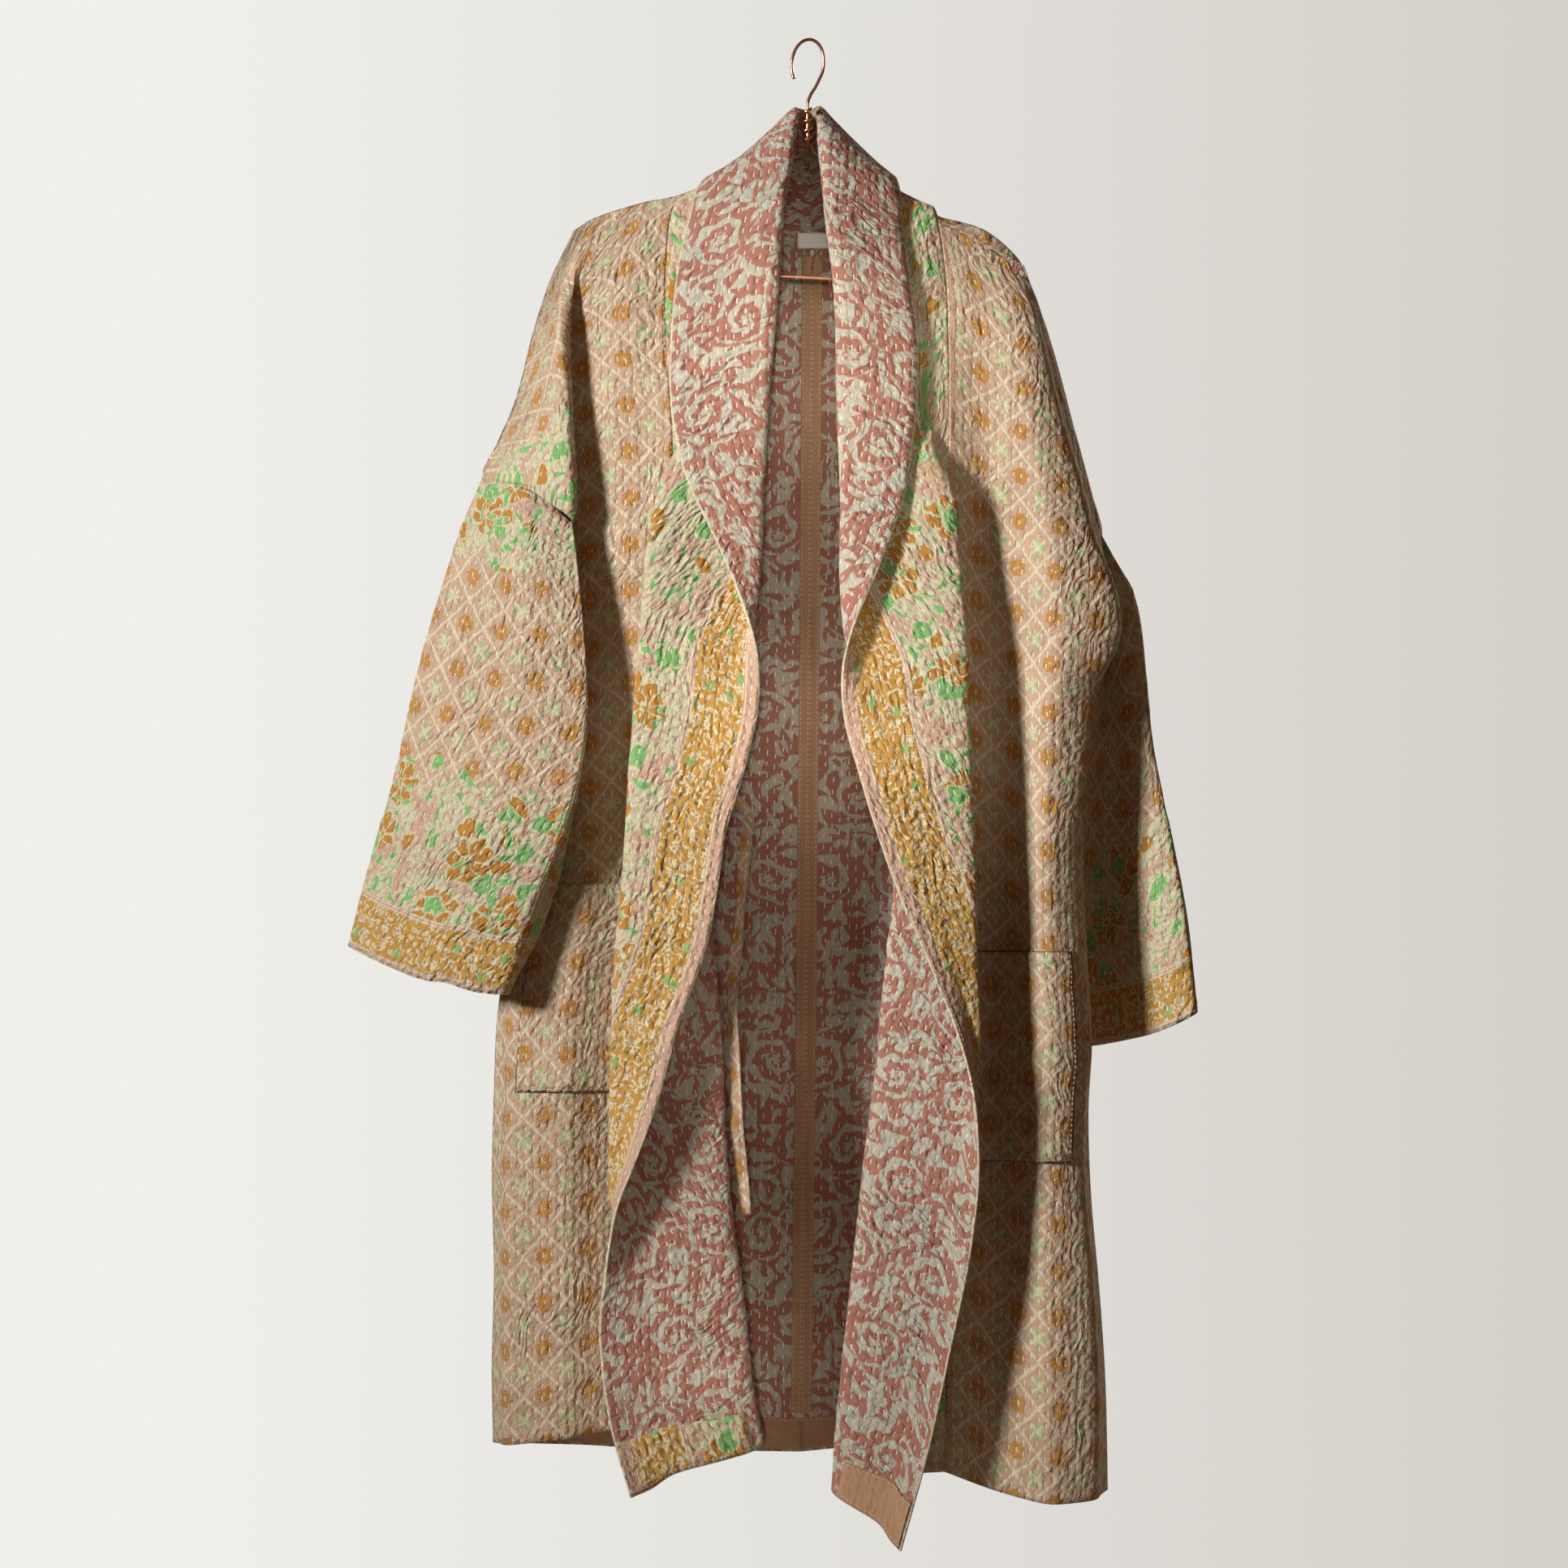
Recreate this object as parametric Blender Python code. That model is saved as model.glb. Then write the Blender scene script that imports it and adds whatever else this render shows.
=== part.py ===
"""Quilted open kimono coat on a wire hanger, in metres, +Z up, front facing -Y.

The origin is the inner top of the hanger's hook. Left and right are the viewer's.
Tables are in millimetres and are turned into metres by MM.
"""
import math

import bmesh
import bpy
import numpy as np

# Driving sizes
MM = 0.001
CLOTH = 2.2
FACING = 1.2
TAPE_CLOTH = 1.0
POCKET_CLOTH = 1.8
SEAM_GAP = 0.6
LAY_GAP = 0.35
FOLD_GAP = 9.0
FACE_BULGE = 9.0
FACE_LEAST = 25.0
PUCKER = 0.5
WIRE = 1.4
HOOK_INNER = 20.0
HOOK_TURN = math.radians(48)
TAPE_WIDTH = 9.0
LEAST_CELL = 2.0
BAND_STEP = 47.0
FRONT_STEP = 54.0
SLEEVE_STEP = 50.0
TIE_STEP = 18.0
NECK_COLUMNS = 6
CORNER_REACH = 4.0
HIDDEN_GAP = 3.0
CORNER_GAP = 1.4
POCKET_WIDTH = 122.0
POCKET_SIDE = 38.0
FACING_WIDTH = 60.0
TIE_WIDTH = 11.0
TIE_CLOTH = 1.8
LABEL_WIDTH = 44.0
LABEL_HEIGHT = 14.0
LABEL_CLOTH = 0.6

# Neck part of each band: seam, roll line and free edge from the centre back to the shoulder
NECK_LEFT = [
    ((4.2, 44, -181), (0.4, 30, -60), (2.0, 56, -128)),
    ((-40, 42, -173), (-6, 21, -59), (-34, 50, -122)),
    ((-82, 24, -152), (-9, 5, -65), (-68, 25, -116)),
    ((-102, 2, -135), (-12, -14, -92), (-90, -7, -123)),
]
NECK_RIGHT = [
    ((5.8, 44, -181), (2.6, 30, -60), (4.0, 56, -128)),
    ((48, 42, -177), (10, 21, -57), (42, 50, -122)),
    ((86, 24, -162), (11, 5, -65), (70, 28, -116)),
    ((104, 2, -146), (13, -14, -92), (80, -7, -124)),
]

# Sections down each band: height z, then place across (x) and depth (y) of the seam, the back
# fold, the crest, the roll line and the free edge, then how far fold and edge hang lower
BAND_LEFT = [
    (-152, -119, -92, -66, -22, -102, -9, -16, -23, -38, -22, 0, 0),
    (-200, -124, -96, -70, -26, -113, -20, -25, -30, -44, -36, 0, 0),
    (-260, -124, -100, -78, -30, -119, -28, -33, -37, -49, -44, 0, 0),
    (-320, -120, -108, -96, -35, -120, -34, -37, -41, -53, -52, 0, 0),
    (-355, -118, -107, -107, -37, -115, -35, -39, -50, -58, -60, 0, 0),
    (-390, -117, -104, -124, -39, -106, -38, -44, -56, -60, -68, 0, 0),
    (-450, -117, -98, -138, -42, -78, -40, -48, -62, -66, -76, 0, 0),
    (-490, -118, -95, -141, -44, -61, -41, -50, -66, -70, -82, 0, 0),
    (-520, -118, -94, -143, -49, -50, -42, -51, -69, -74, -90, 0, 0),
    (-548, -118, -93, -146, -58, -43, -42, -52, -71, -78, -90, 0, 0),
    (-590, -118, -91, -149, -74, -42, -42, -53, -74, -83, -88, 0, 0),
    (-700, -118, -86, -156, -105, -70, -42, -55, -79, -89, -93, 0, 0),
    (-800, -118, -83, -165, -118, -87, -42, -57, -82, -93, -98, 0, 0),
    (-870, -118, -78, -168, -138, -112, -42, -58, -84, -97, -103, 0, 0),
    (-930, -118, -75, -171, -148, -128, -42, -60, -85, -99, -106, 0, 0),
    (-990, -118, -72, -171, -160, -150, -42, -61, -84, -97, -108, 0, 0),
    (-1025, -118, -69, -168, -168, -164, -42, -61, -82, -92, -105, 0, 0),
    (-1055, -118, -66, -158, -168, -171, -42, -60, -80, -88, -99, 0, 0),
    (-1090, -118, -60, -148, -163, -177, -42, -60, -78, -84, -91, -1, -3),
    (-1130, -117, -55, -138, -160, -181, -42, -59, -78, -83, -88, -2, -8),
    (-1185, -117, -48, -130, -152, -172, -42, -58, -75, -79, -84, -6, -32),
    (-1226, -116, -40, -118, -137, -154, -42, -57, -73, -77, -82, -10, -56),
]
BAND_RIGHT = [
    (-165, 117, 92, 66, 19, 85, -11, -18, -24, -40, -24, 0, 0),
    (-215, 123, 96, 72, 25, 91, -22, -27, -32, -45, -37, 0, 0),
    (-275, 125, 102, 82, 28, 98, -30, -34, -38, -50, -46, 0, 0),
    (-335, 125, 113, 100, 29, 96, -35, -38, -42, -54, -54, 0, 0),
    (-370, 125, 113, 112, 30, 92, -36, -40, -51, -58, -61, 0, 0),
    (-408, 125, 110, 128, 31, 85, -38, -45, -57, -61, -68, 0, 0),
    (-465, 125, 101, 133, 31, 65, -40, -48, -61, -66, -76, 0, 0),
    (-500, 125, 97, 136, 32, 50, -41, -50, -65, -70, -83, 0, 0),
    (-530, 125, 94, 138, 36, 38, -42, -51, -68, -74, -90, 0, 0),
    (-560, 125, 91, 139, 45, 31, -42, -52, -71, -79, -90, 0, 0),
    (-600, 125, 88, 140, 64, 32, -42, -54, -74, -84, -88, 0, 0),
    (-660, 125, 84, 143, 86, 48, -42, -55, -78, -88, -92, 0, 0),
    (-745, 125, 79, 146, 108, 76, -42, -56, -80, -91, -96, 0, 0),
    (-815, 125, 72, 148, 126, 106, -42, -57, -82, -94, -101, 0, 0),
    (-880, 125, 64, 149, 141, 132, -42, -58, -83, -94, -104, 0, 0),
    (-920, 125, 60, 147, 147, 143, -42, -59, -80, -90, -103, 0, 0),
    (-955, 125, 56, 140, 147, 148, -42, -59, -78, -86, -98, 0, 0),
    (-1005, 125, 51, 128, 141, 150, -42, -59, -77, -83, -90, 0, 0),
    (-1065, 124, 45, 120, 132, 142, -42, -58, -75, -81, -87, -2, -8),
    (-1130, 123, 37, 106, 118, 126, -42, -58, -74, -79, -84, -4, -20),
    (-1200, 122, 29, 88, 98, 106, -42, -57, -72, -77, -82, -7, -42),
    (-1264, 121, 24, 64, 74, 82, -42, -56, -70, -75, -80, -12, -65),
]

# Sections down each front: height at the band seam, then the middle, the tuck, the fold beside
# the sleeve, and the outer edge, which is the overarm line, the armhole seam, then the side seam
FRONT_LEFT = [
    (-139, (-140, -1.5, -143), (-165, -1.5, -150), (-188, -1.5, -158), (-206, -1.5, -169)),
    (-152, (-150, -9, -163), (-178, -8, -171), (-197, -7, -177), (-212, -3.5, -182)),
    (-200, (-160, -21, -210), (-200, -14, -212), (-208, -17, -214), (-227, -3.5, -214)),
    (-260, (-166, -27, -262), (-224, -9, -262), (-213, -31, -261), (-242, -3.5, -260)),
    (-320, (-168, -30, -320), (-229, -13, -320), (-210, -41, -320), (-257, -4, -318)),
    (-360, (-168, -31, -360), (-230, -14, -358), (-208, -48, -356), (-273, -4, -356)),
    (-400, (-168, -32, -400), (-230, -15, -396), (-206, -52, -390), (-286, -5, -386)),
    (-430, (-168, -32, -430), (-229, -16, -424), (-205, -54, -406), (-246, -46, -399)),
    (-446, (-167, -32, -446), (-228, -17, -438), (-205, -56, -420), (-226, -51, -413)),
    (-460, (-166, -32, -460), (-227, -18, -452), (-206.2, -52.3, -431.2), (-205, -54, -430)),
    (-478, (-165, -31, -478), (-223, -17, -474), (-222, -35, -460), (-221, -40, -455)),
    (-498, (-164, -30, -498), (-214, -14, -496), (-230, -23, -484), (-236, -31, -477)),
    (-518, (-162, -30, -518), (-204, -10, -518), (-231, -13, -507), (-243, -19, -497)),
    (-540, (-161, -30, -540), (-196, -12, -540), (-222, -7, -528), (-246, -5, -512)),
    (-575, (-160, -30, -575), (-190, -22, -575), (-210, -11, -572), (-230, 3, -560)),
    (-625, (-158, -29, -625), (-190, -39, -625), (-210, -29, -623), (-224, -4, -618)),
    (-690, (-160, -29, -690), (-194, -43, -690), (-224, -33, -690), (-240, -6, -688)),
    (-760, (-162, -29, -760), (-200, -44, -760), (-236, -34, -760), (-254, -6, -760)),
    (-863, (-162, -30, -863), (-212, -45, -863), (-256, -34, -863), (-273, -7, -863)),
    (-930, (-162, -32, -930), (-212, -47, -930), (-259, -36, -930), (-276, -7, -930)),
    (-1007, (-163, -34, -1007), (-214, -48, -1007), (-261, -37, -1007), (-278, -7, -1007)),
    (-1090, (-163, -35, -1090), (-214, -48, -1090), (-260, -37, -1090), (-276, -7, -1090)),
    (-1170, (-163, -36, -1170), (-215, -48, -1172), (-262, -37, -1174), (-278, -7, -1176)),
    (-1226, (-163, -36, -1227), (-216, -48, -1235), (-262, -37, -1241), (-277, -7, -1242)),
]
FRONT_RIGHT = [
    (-159, (140, -8.5, -172), (160, -8.5, -183), (178, -8.5, -193), (192, -8, -200)),
    (-162, (142, -9.6, -177), (162, -9.6, -188), (180, -9.2, -198), (194, -8, -206)),
    (-168, (146, -12.5, -189), (168, -12.5, -199), (184, -11.5, -208), (197, -8, -215)),
    (-215, (153, -22, -228), (180, -23, -230), (196, -18, -232), (204, -8, -233)),
    (-275, (156, -27, -280), (191, -31, -280), (209, -24, -280), (217, -8, -280)),
    (-335, (159, -27, -337), (199, -38, -337), (222, -29, -337), (233, -8, -336)),
    (-400, (161, -25, -400), (210, -45, -400), (240, -34, -400), (251, -8, -400)),
    (-440, (162, -24, -440), (216, -49, -440), (249, -38, -440), (259, -9, -436)),
    (-475, (163, -22, -475), (219, -52, -475), (265, -37, -474), (263, -10, -464)),
    (-508, (164, -21, -508), (222, -53, -508), (274, -36, -506), (265, -8, -491)),
    (-538, (164, -20, -538), (222, -53, -538), (273, -34, -534), (259, 6, -514)),
    (-568, (165, -18, -568), (220, -52, -567), (261, -32, -560), (251, 18, -532)),
    (-600, (165, -18, -600), (216, -50, -600), (250, -33, -596), (245, -6, -576)),
    (-640, (166, -17, -640), (213, -48, -640), (245, -33, -638), (245, -4, -630)),
    (-690, (166, -16, -690), (211, -47, -690), (240, -32, -690), (244, -7, -690)),
    (-760, (166, -16, -760), (211, -46, -760), (239, -31, -760), (245, -7, -760)),
    (-830, (167, -18, -830), (212, -46, -830), (243, -31, -830), (249, -7, -830)),
    (-888, (167, -20, -888), (213, -46, -888), (245, -31, -888), (252, -7, -888)),
    (-946, (167, -22, -946), (213, -46, -946), (242, -31, -946), (249, -7, -946)),
    (-1020, (168, -24, -1020), (213, -46, -1020), (243, -32, -1020), (251, -7, -1020)),
    (-1100, (168, -26, -1100), (214, -46, -1100), (249, -33, -1100), (258, -7, -1100)),
    (-1190, (168, -28, -1190), (215, -46, -1190), (253, -33, -1190), (264, -7, -1190)),
    (-1264, (166, -30, -1282), (214, -46, -1292), (252, -33, -1290), (266, -7, -1284)),
]

# Sections down each back: the centre back, three places across, the silhouette and the outer edge
BACK_LEFT = [
    ((4.2, 44, -181), (-40, 42, -173), (-82, 24, -152),
     (-102, 2, -135), (-160, 1.5, -148.5), (-206, 1.5, -169)),
    ((4.2, 45, -200), (-42, 44, -195), (-88, 33, -178),
     (-116, 19, -160), (-166, 9, -166), (-212, 3.5, -182)),
    ((4.2, 46, -240), (-45, 45, -238), (-94, 39, -232),
     (-134, 31, -226), (-188, 19, -224), (-233, 4, -226)),
    ((3.8, 46, -290), (-50, 45, -290), (-105, 41, -289),
     (-155, 33, -287), (-212, 22, -285), (-249, 4, -285)),
    ((3.4, 46, -340), (-52, 45, -340), (-110, 41, -340),
     (-168, 33, -338), (-232, 24, -336), (-265, 4, -336)),
    ((3.0, 45, -395), (-55, 45, -395), (-115, 41, -395),
     (-175, 33, -393), (-244, 27, -390), (-286, 4, -387)),
    ((2.6, 45, -445), (-55, 45, -445), (-112, 41, -445),
     (-168, 34, -444), (-228, 28, -440), (-268, 20, -430)),
    ((2.4, 44, -485), (-54, 44, -485), (-108, 41, -485),
     (-160, 34, -485), (-222, 24, -483), (-257, 16, -476)),
    ((2.2, 44, -525), (-54, 44, -525), (-106, 40, -525),
     (-156, 32, -525), (-212, 18, -522), (-246, -4, -512)),
    ((1.8, 44, -575), (-52, 44, -575), (-103, 40, -575),
     (-150, 30, -575), (-200, 20, -572), (-231, 5, -560)),
    ((1.2, 44, -625), (-54, 44, -625), (-104, 40, -625),
     (-152, 31, -625), (-198, 18, -624), (-224, -3, -618)),
    ((-0.2, 43, -740), (-60, 43, -740), (-120, 40, -740),
     (-176, 32, -740), (-230, 18, -740), (-251, -5, -740)),
    ((-1.2, 42, -863), (-64, 42, -863), (-128, 40, -863),
     (-190, 33, -863), (-250, 19, -863), (-273, -6, -863)),
    ((-2.7, 42, -990), (-66, 45, -990), (-130, 40, -990),
     (-194, 36, -990), (-254, 20, -990), (-277, -6, -990)),
    ((-4.2, 41, -1110), (-66, 46, -1110), (-130, 39, -1110),
     (-194, 38, -1110), (-253, 20, -1110), (-276, -6, -1110)),
    ((-5.8, 41, -1256), (-66, 48, -1256), (-130, 38, -1254),
     (-194, 40, -1250), (-254, 20, -1246), (-277, -6, -1242)),
]
BACK_RIGHT = [
    ((5.8, 44, -181), (48, 42, -177), (86, 24, -162),
     (110, -3.6, -154), (146, -8, -171), (192, -8, -200)),
    ((5.8, 44.5, -190), (49, 43, -185), (89, 28, -171),
     (114, 5, -158), (156, 1, -167), (200, 0, -206)),
    ((5.8, 45, -206), (50, 44, -202), (92, 34, -190),
     (124, 20, -180), (164, 13, -187), (206, 4, -215)),
    ((5.6, 46, -245), (52, 45, -244), (100, 39, -241),
     (142, 31, -240), (186, 20, -242), (218, 3, -244)),
    ((5.2, 46, -300), (54, 45, -300), (108, 41, -300),
     (156, 33, -300), (210, 22, -300), (232, 2, -299)),
    ((4.8, 46, -350), (56, 45, -350), (110, 41, -350),
     (162, 34, -350), (222, 24, -350), (246, 2, -349)),
    ((4.4, 45, -400), (57, 45, -400), (112, 41, -400),
     (168, 34, -400), (234, 26, -400), (259, 2, -399)),
    ((4.2, 45, -438), (57, 45, -438), (112, 41, -438),
     (170, 34, -438), (246, 28, -438), (267, 0, -437)),
    ((4.0, 45, -470), (57, 45, -470), (112, 42, -470),
     (166, 37, -470), (232, 33, -470), (262, 27, -464)),
    ((3.8, 44, -500), (57, 44, -500), (112, 41, -500),
     (164, 37, -500), (222, 34, -499), (255, 31, -491)),
    ((3.6, 44, -525), (57, 44, -525), (111, 41, -525),
     (163, 36, -525), (218, 33, -522), (252, 29, -514)),
    ((3.4, 44, -550), (56, 44, -550), (110, 40, -550),
     (162, 35, -550), (216, 30, -546), (251, 19, -532)),
    ((3.0, 44, -590), (56, 44, -590), (110, 40, -590),
     (162, 33, -590), (212, 20, -588), (245, -5, -576)),
    ((2.4, 44, -640), (56, 44, -640), (110, 40, -640),
     (162, 31, -640), (212, 18, -638), (245, -3, -630)),
    ((1.4, 43, -750), (56, 43, -750), (110, 40, -750),
     (162, 31, -750), (212, 18, -750), (245, -6, -750)),
    ((0.4, 42, -880), (58, 42, -880), (116, 40, -880),
     (170, 33, -880), (222, 19, -880), (252, -6, -880)),
    ((-1.2, 42, -1000), (60, 45, -1000), (118, 40, -1000),
     (174, 36, -1000), (224, 20, -1000), (250, -6, -1000)),
    ((-2.8, 41, -1120), (62, 46, -1120), (122, 39, -1124),
     (180, 38, -1130), (234, 20, -1138), (260, -6, -1142)),
    ((-4.6, 41, -1256), (62, 48, -1252), (124, 38, -1260),
     (184, 40, -1272), (240, 20, -1281), (266, -6, -1284)),
]

# Sections down each sleeve below the armhole seam: underarm, front inner fold, front middle,
# outer fold, back middle, back inner
SLEEVE_LEFT = [
    ((-240, -36, -563), (-198, -65, -512), (-252, -57, -468), (-304, -8, -433),
     (-288, 10, -484), (-268, -8, -530)),
    ((-216, -51, -652), (-195, -72, -605), (-262, -62, -566), (-338, -14, -545),
     (-298, -2, -590), (-250, -34, -635)),
    ((-214, -57, -727), (-212, -78, -690), (-290, -66, -656), (-364, -20, -660),
     (-310, -18, -690), (-250, -46, -715)),
    ((-238, -57, -797), (-242, -80, -764), (-318, -68, -742), (-388, -24, -746),
     (-334, -20, -766), (-276, -42, -785)),
    ((-262, -57, -850), (-266, -80, -836), (-338, -70, -830), (-402, -28, -803),
     (-350, -22, -826), (-296, -38, -842)),
]
SLEEVE_RIGHT = [
    ((249, 53, -592), (266, 14, -560), (280, 2, -526), (290, 14, -496),
     (280, 46, -536), (265, 62, -576)),
    ((240, 65, -668), (265, 36, -634), (288, 12, -606), (308, 14, -626),
     (294, 46, -640), (264, 70, -660)),
    ((232, 80, -743), (266, 46, -716), (298, 16, -700), (323, 12, -706),
     (302, 44, -720), (266, 74, -740)),
    ((230, 86, -821), (266, 48, -800), (306, 16, -788), (337, 8, -790),
     (312, 44, -800), (270, 78, -815)),
    ((230, 90, -899), (268, 50, -892), (312, 16, -880), (345, 8, -863),
     (318, 46, -872), (272, 80, -886)),
]

# How each stretch between two control places is divided, as fractions of the stretch
TURN = (0, 0.34, 0.67)
LEG = (0, 0.18, 0.5, 0.82)
START_LEG = (0, 0.5, 0.84)
END_LEG = (0, 0.16, 0.55)
HALF = (0, 0.5)
WHOLE = (0,)
THIRDS = (0, 0.33, 0.67)

# Wire hanger: its arms and bar, left and right, seen from the front
ARM_LEFT = [(-1.9, -99.5), (-30, -109), (-62, -126), (-102, -142), (-123, -147), (-155, -156),
            (-180, -167), (-194, -176), (-199.5, -184), (-200, -191), (-197, -196.5), (-192, -198)]
ARM_RIGHT = [(5.4, -99), (32, -115), (62, -133), (104, -156), (123, -167), (155, -182),
             (172, -192), (180, -199), (183, -207), (182, -213.5), (178.5, -218), (174, -219.1)]
BAR = [(-191.5, -198.03), (-90, -204.5), (0, -209.6), (90, -214.8), (173.5, -219.1)]
TWIST_TOP = -60.0
TWIST_TURNS = 4
TWIST_STEPS = 10
TWIST_CLEARANCE = 0.35
TWIST_FOOT = -93.5
HOOK_MIDDLE = 1.0

# Hook from its tip: a ring part in degrees, then a bent foot as distance and height from its middle
HOOK_START = 212
HOOK_END = -38
HOOK_STEPS = 22
HOOK_FOOT = [(10.5, -21.5), (4.0, -28.0), (0.6, -33.5), (0.0, -40.0), (0.0, -78.0)]

# Inner tie: places down it, and the way it faces across
TIE = [((-74, -86.8, -663), (1, 0, 0)), ((-62, -80, -672), (1, 0, 0.3)),
       ((-53, -74, -684), (0.9, -0.4, 0)), ((-55, -68, -720), (0.9, 0.4, 0)),
       ((-58, -64, -765), (0.6, 0.8, 0)), ((-63, -62, -815), (0.9, 0.3, 0)),
       ((-65, -60, -845), (0.7, -0.7, 0)), ((-63, -58, -900), (0.8, -0.6, 0)),
       ((-61, -57, -960), (1, 0, 0)), ((-56, -56, -1010), (1, -0.2, 0)),
       ((-54, -56, -1036), (1, -0.3, 0))]

# Neck label: its left end, and how strongly it is curved round the neck
LABEL = (-8.0, 40.6, -166.0)
LABEL_CURVE = 0.0022


def unit(vector):
    return vector / max(float(np.linalg.norm(vector)), 1e-9)


def hermite(rows, knots, targets):
    """A smooth curve through the rows at their knots, read off at the targets."""
    rows = np.asarray(rows, float)
    steps = np.diff(knots)
    shape = (-1,) + (1,) * (rows.ndim - 1)
    chords = (rows[1:] - rows[:-1]) / steps.reshape(shape)
    slopes = np.zeros_like(rows)
    slopes[0] = chords[0]
    slopes[-1] = chords[-1]
    for i in range(1, len(rows) - 1):
        slopes[i] = (chords[i - 1] * steps[i] + chords[i] * steps[i - 1]) / (steps[i] + steps[i - 1])
    made = []
    for target in targets:
        i = min(max(int(np.searchsorted(knots, target, side="right")) - 1, 0), len(rows) - 2)
        s = (target - knots[i]) / steps[i]
        ends = (2 * s ** 3 - 3 * s ** 2 + 1) * rows[i] + (3 * s ** 2 - 2 * s ** 3) * rows[i + 1]
        turns = (s ** 3 - 2 * s ** 2 + s) * slopes[i] + (s ** 3 - s ** 2) * slopes[i + 1]
        made.append(ends + steps[i] * turns)
    return np.array(made)


def across(points, spans):
    """One section: a smooth line through its control places, divided by the spans."""
    points = np.asarray(points, float)
    gaps = np.linalg.norm(points[1:] - points[:-1], axis=1)
    knots = np.concatenate([[0], np.cumsum(np.maximum(gaps, 0.5) ** 0.5)])
    targets = []
    for i, span in enumerate(spans):
        targets += [knots[i] + part * (knots[i + 1] - knots[i]) for part in span]
    targets.append(knots[-1])
    return hermite(points, knots, targets)


def along(sections, step, least=None):
    """Fills in between sections so that rows are about one step apart."""
    sections = np.asarray(sections, float)
    gaps = np.linalg.norm(sections[1:] - sections[:-1], axis=2).mean(axis=1)
    knots = np.concatenate([[0], np.cumsum(gaps)])
    targets = []
    for i, gap in enumerate(gaps):
        count = max(1, int(round(gap / step)))
        if least and i < len(least):
            count = max(count, least[i])
        targets += [knots[i] + gap * k / count for k in range(count)]
    targets.append(knots[-1])
    return hermite(sections, knots, targets)


def normals_of(grid, sign):
    """At each point, the mean of the directions in which the cells round it face."""
    slant_one = grid[1:, 1:] - grid[:-1, :-1]
    slant_two = grid[1:, :-1] - grid[:-1, 1:]
    cells = np.cross(slant_one, slant_two) * sign
    sizes = np.linalg.norm(cells, axis=2, keepdims=True)
    cells = np.where(sizes > LEAST_CELL, cells / np.maximum(sizes, 1e-9), 0)
    normals = np.zeros_like(grid)
    for di in (0, 1):
        for dj in (0, 1):
            normals[di:len(grid) - 1 + di, dj:grid.shape[1] - 1 + dj] += cells
    lengths = np.linalg.norm(normals, axis=2, keepdims=True)
    return normals / np.maximum(lengths, 1e-9)


def nearest_on(line, line_normals, place):
    """The point of a line nearest to a place, with the cloth's normal there."""
    best = None
    for i in range(len(line) - 1):
        step = line[i + 1] - line[i]
        part = float(np.clip(np.dot(place - line[i], step) / max(np.dot(step, step), 1e-9), 0, 1))
        point = line[i] + part * step
        distance = float(np.linalg.norm(point - place))
        if best is None or distance < best[0]:
            normal = unit(line_normals[i] * (1 - part) + line_normals[i + 1] * part)
            best = (distance, point, normal)
    return best[1], best[2]


def join_edge(grid, normals, places, inner_places, line, line_normals):
    """Lays the given edge places along another piece's edge, one seam gap away."""
    for place, inner in zip(places, inner_places):
        point, normal = nearest_on(line, line_normals, grid[place])
        away = grid[inner] - point
        away = unit(away - normal * np.dot(away, normal))
        grid[place] = point + away * SEAM_GAP
        normals[place] = normal


def flat_material(name, colour, roughness=0.9, metallic=0.0):
    material = bpy.data.materials.new(name)
    material.use_nodes = True
    shader = material.node_tree.nodes["Principled BSDF"]
    shader.inputs["Base Color"].default_value = (*colour, 1.0)
    shader.inputs["Roughness"].default_value = roughness
    shader.inputs["Metallic"].default_value = metallic
    return material


def make_object(name, points, faces, material):
    mesh = bpy.data.meshes.new(name)
    mesh.from_pydata([tuple(float(v) * MM for v in point) for point in points], [], faces)
    solid = bmesh.new()
    solid.from_mesh(mesh)
    bmesh.ops.recalc_face_normals(solid, faces=solid.faces)
    solid.to_mesh(mesh)
    solid.free()
    mesh.materials.append(material)
    made = bpy.data.objects.new(name, mesh)
    bpy.context.scene.collection.objects.link(made)
    return made


def wall(name, grid, normals, thickness, material, pucker=0.0, tube=False):
    """A closed wall on a grid of middle points, its outer points puckered, its inner ones plain."""
    rows, columns = grid.shape[:2]
    lift = np.zeros((rows, columns, 1))
    for i in range(1, rows - 1):
        for j in range(0 if tube else 1, columns if tube else columns - 1):
            lift[i, j, 0] = pucker * math.sin(i * 2.4 + j * 1.9) * math.sin(i * 1.3 - j * 2.9)
    outer = grid + normals * (thickness / 2 + lift)
    inner = grid - normals * (thickness / 2)
    points = np.concatenate([outer.reshape(-1, 3), inner.reshape(-1, 3)])
    half = rows * columns
    faces = []
    for i in range(rows - 1):
        for j in range(columns if tube else columns - 1):
            a = i * columns + j
            b = i * columns + (j + 1) % columns
            c = b + columns
            d = a + columns
            faces.append((a, b, c, d))
            faces.append((half + d, half + c, half + b, half + a))
    low = (rows - 1) * columns
    if tube:
        rims = [list(range(columns)), [low + j for j in range(columns - 1, -1, -1)]]
    else:
        rims = [list(range(columns))
                + [i * columns + columns - 1 for i in range(1, rows)]
                + [low + j for j in range(columns - 2, -1, -1)]
                + [i * columns for i in range(rows - 2, 0, -1)]]
    for rim in rims:
        for k, a in enumerate(rim):
            b = rim[(k + 1) % len(rim)]
            faces.append((b, a, half + a, half + b))
    return make_object(name, points, faces, material)


def row_at(grid, column, height):
    """Where a column reaches a height, as a fractional row."""
    heights = grid[:, column, 2]
    for i in range(len(heights) - 1):
        if heights[i] >= height >= heights[i + 1]:
            return i + (heights[i] - height) / max(heights[i] - heights[i + 1], 1e-9)
    return float(len(heights) - 1)


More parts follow.
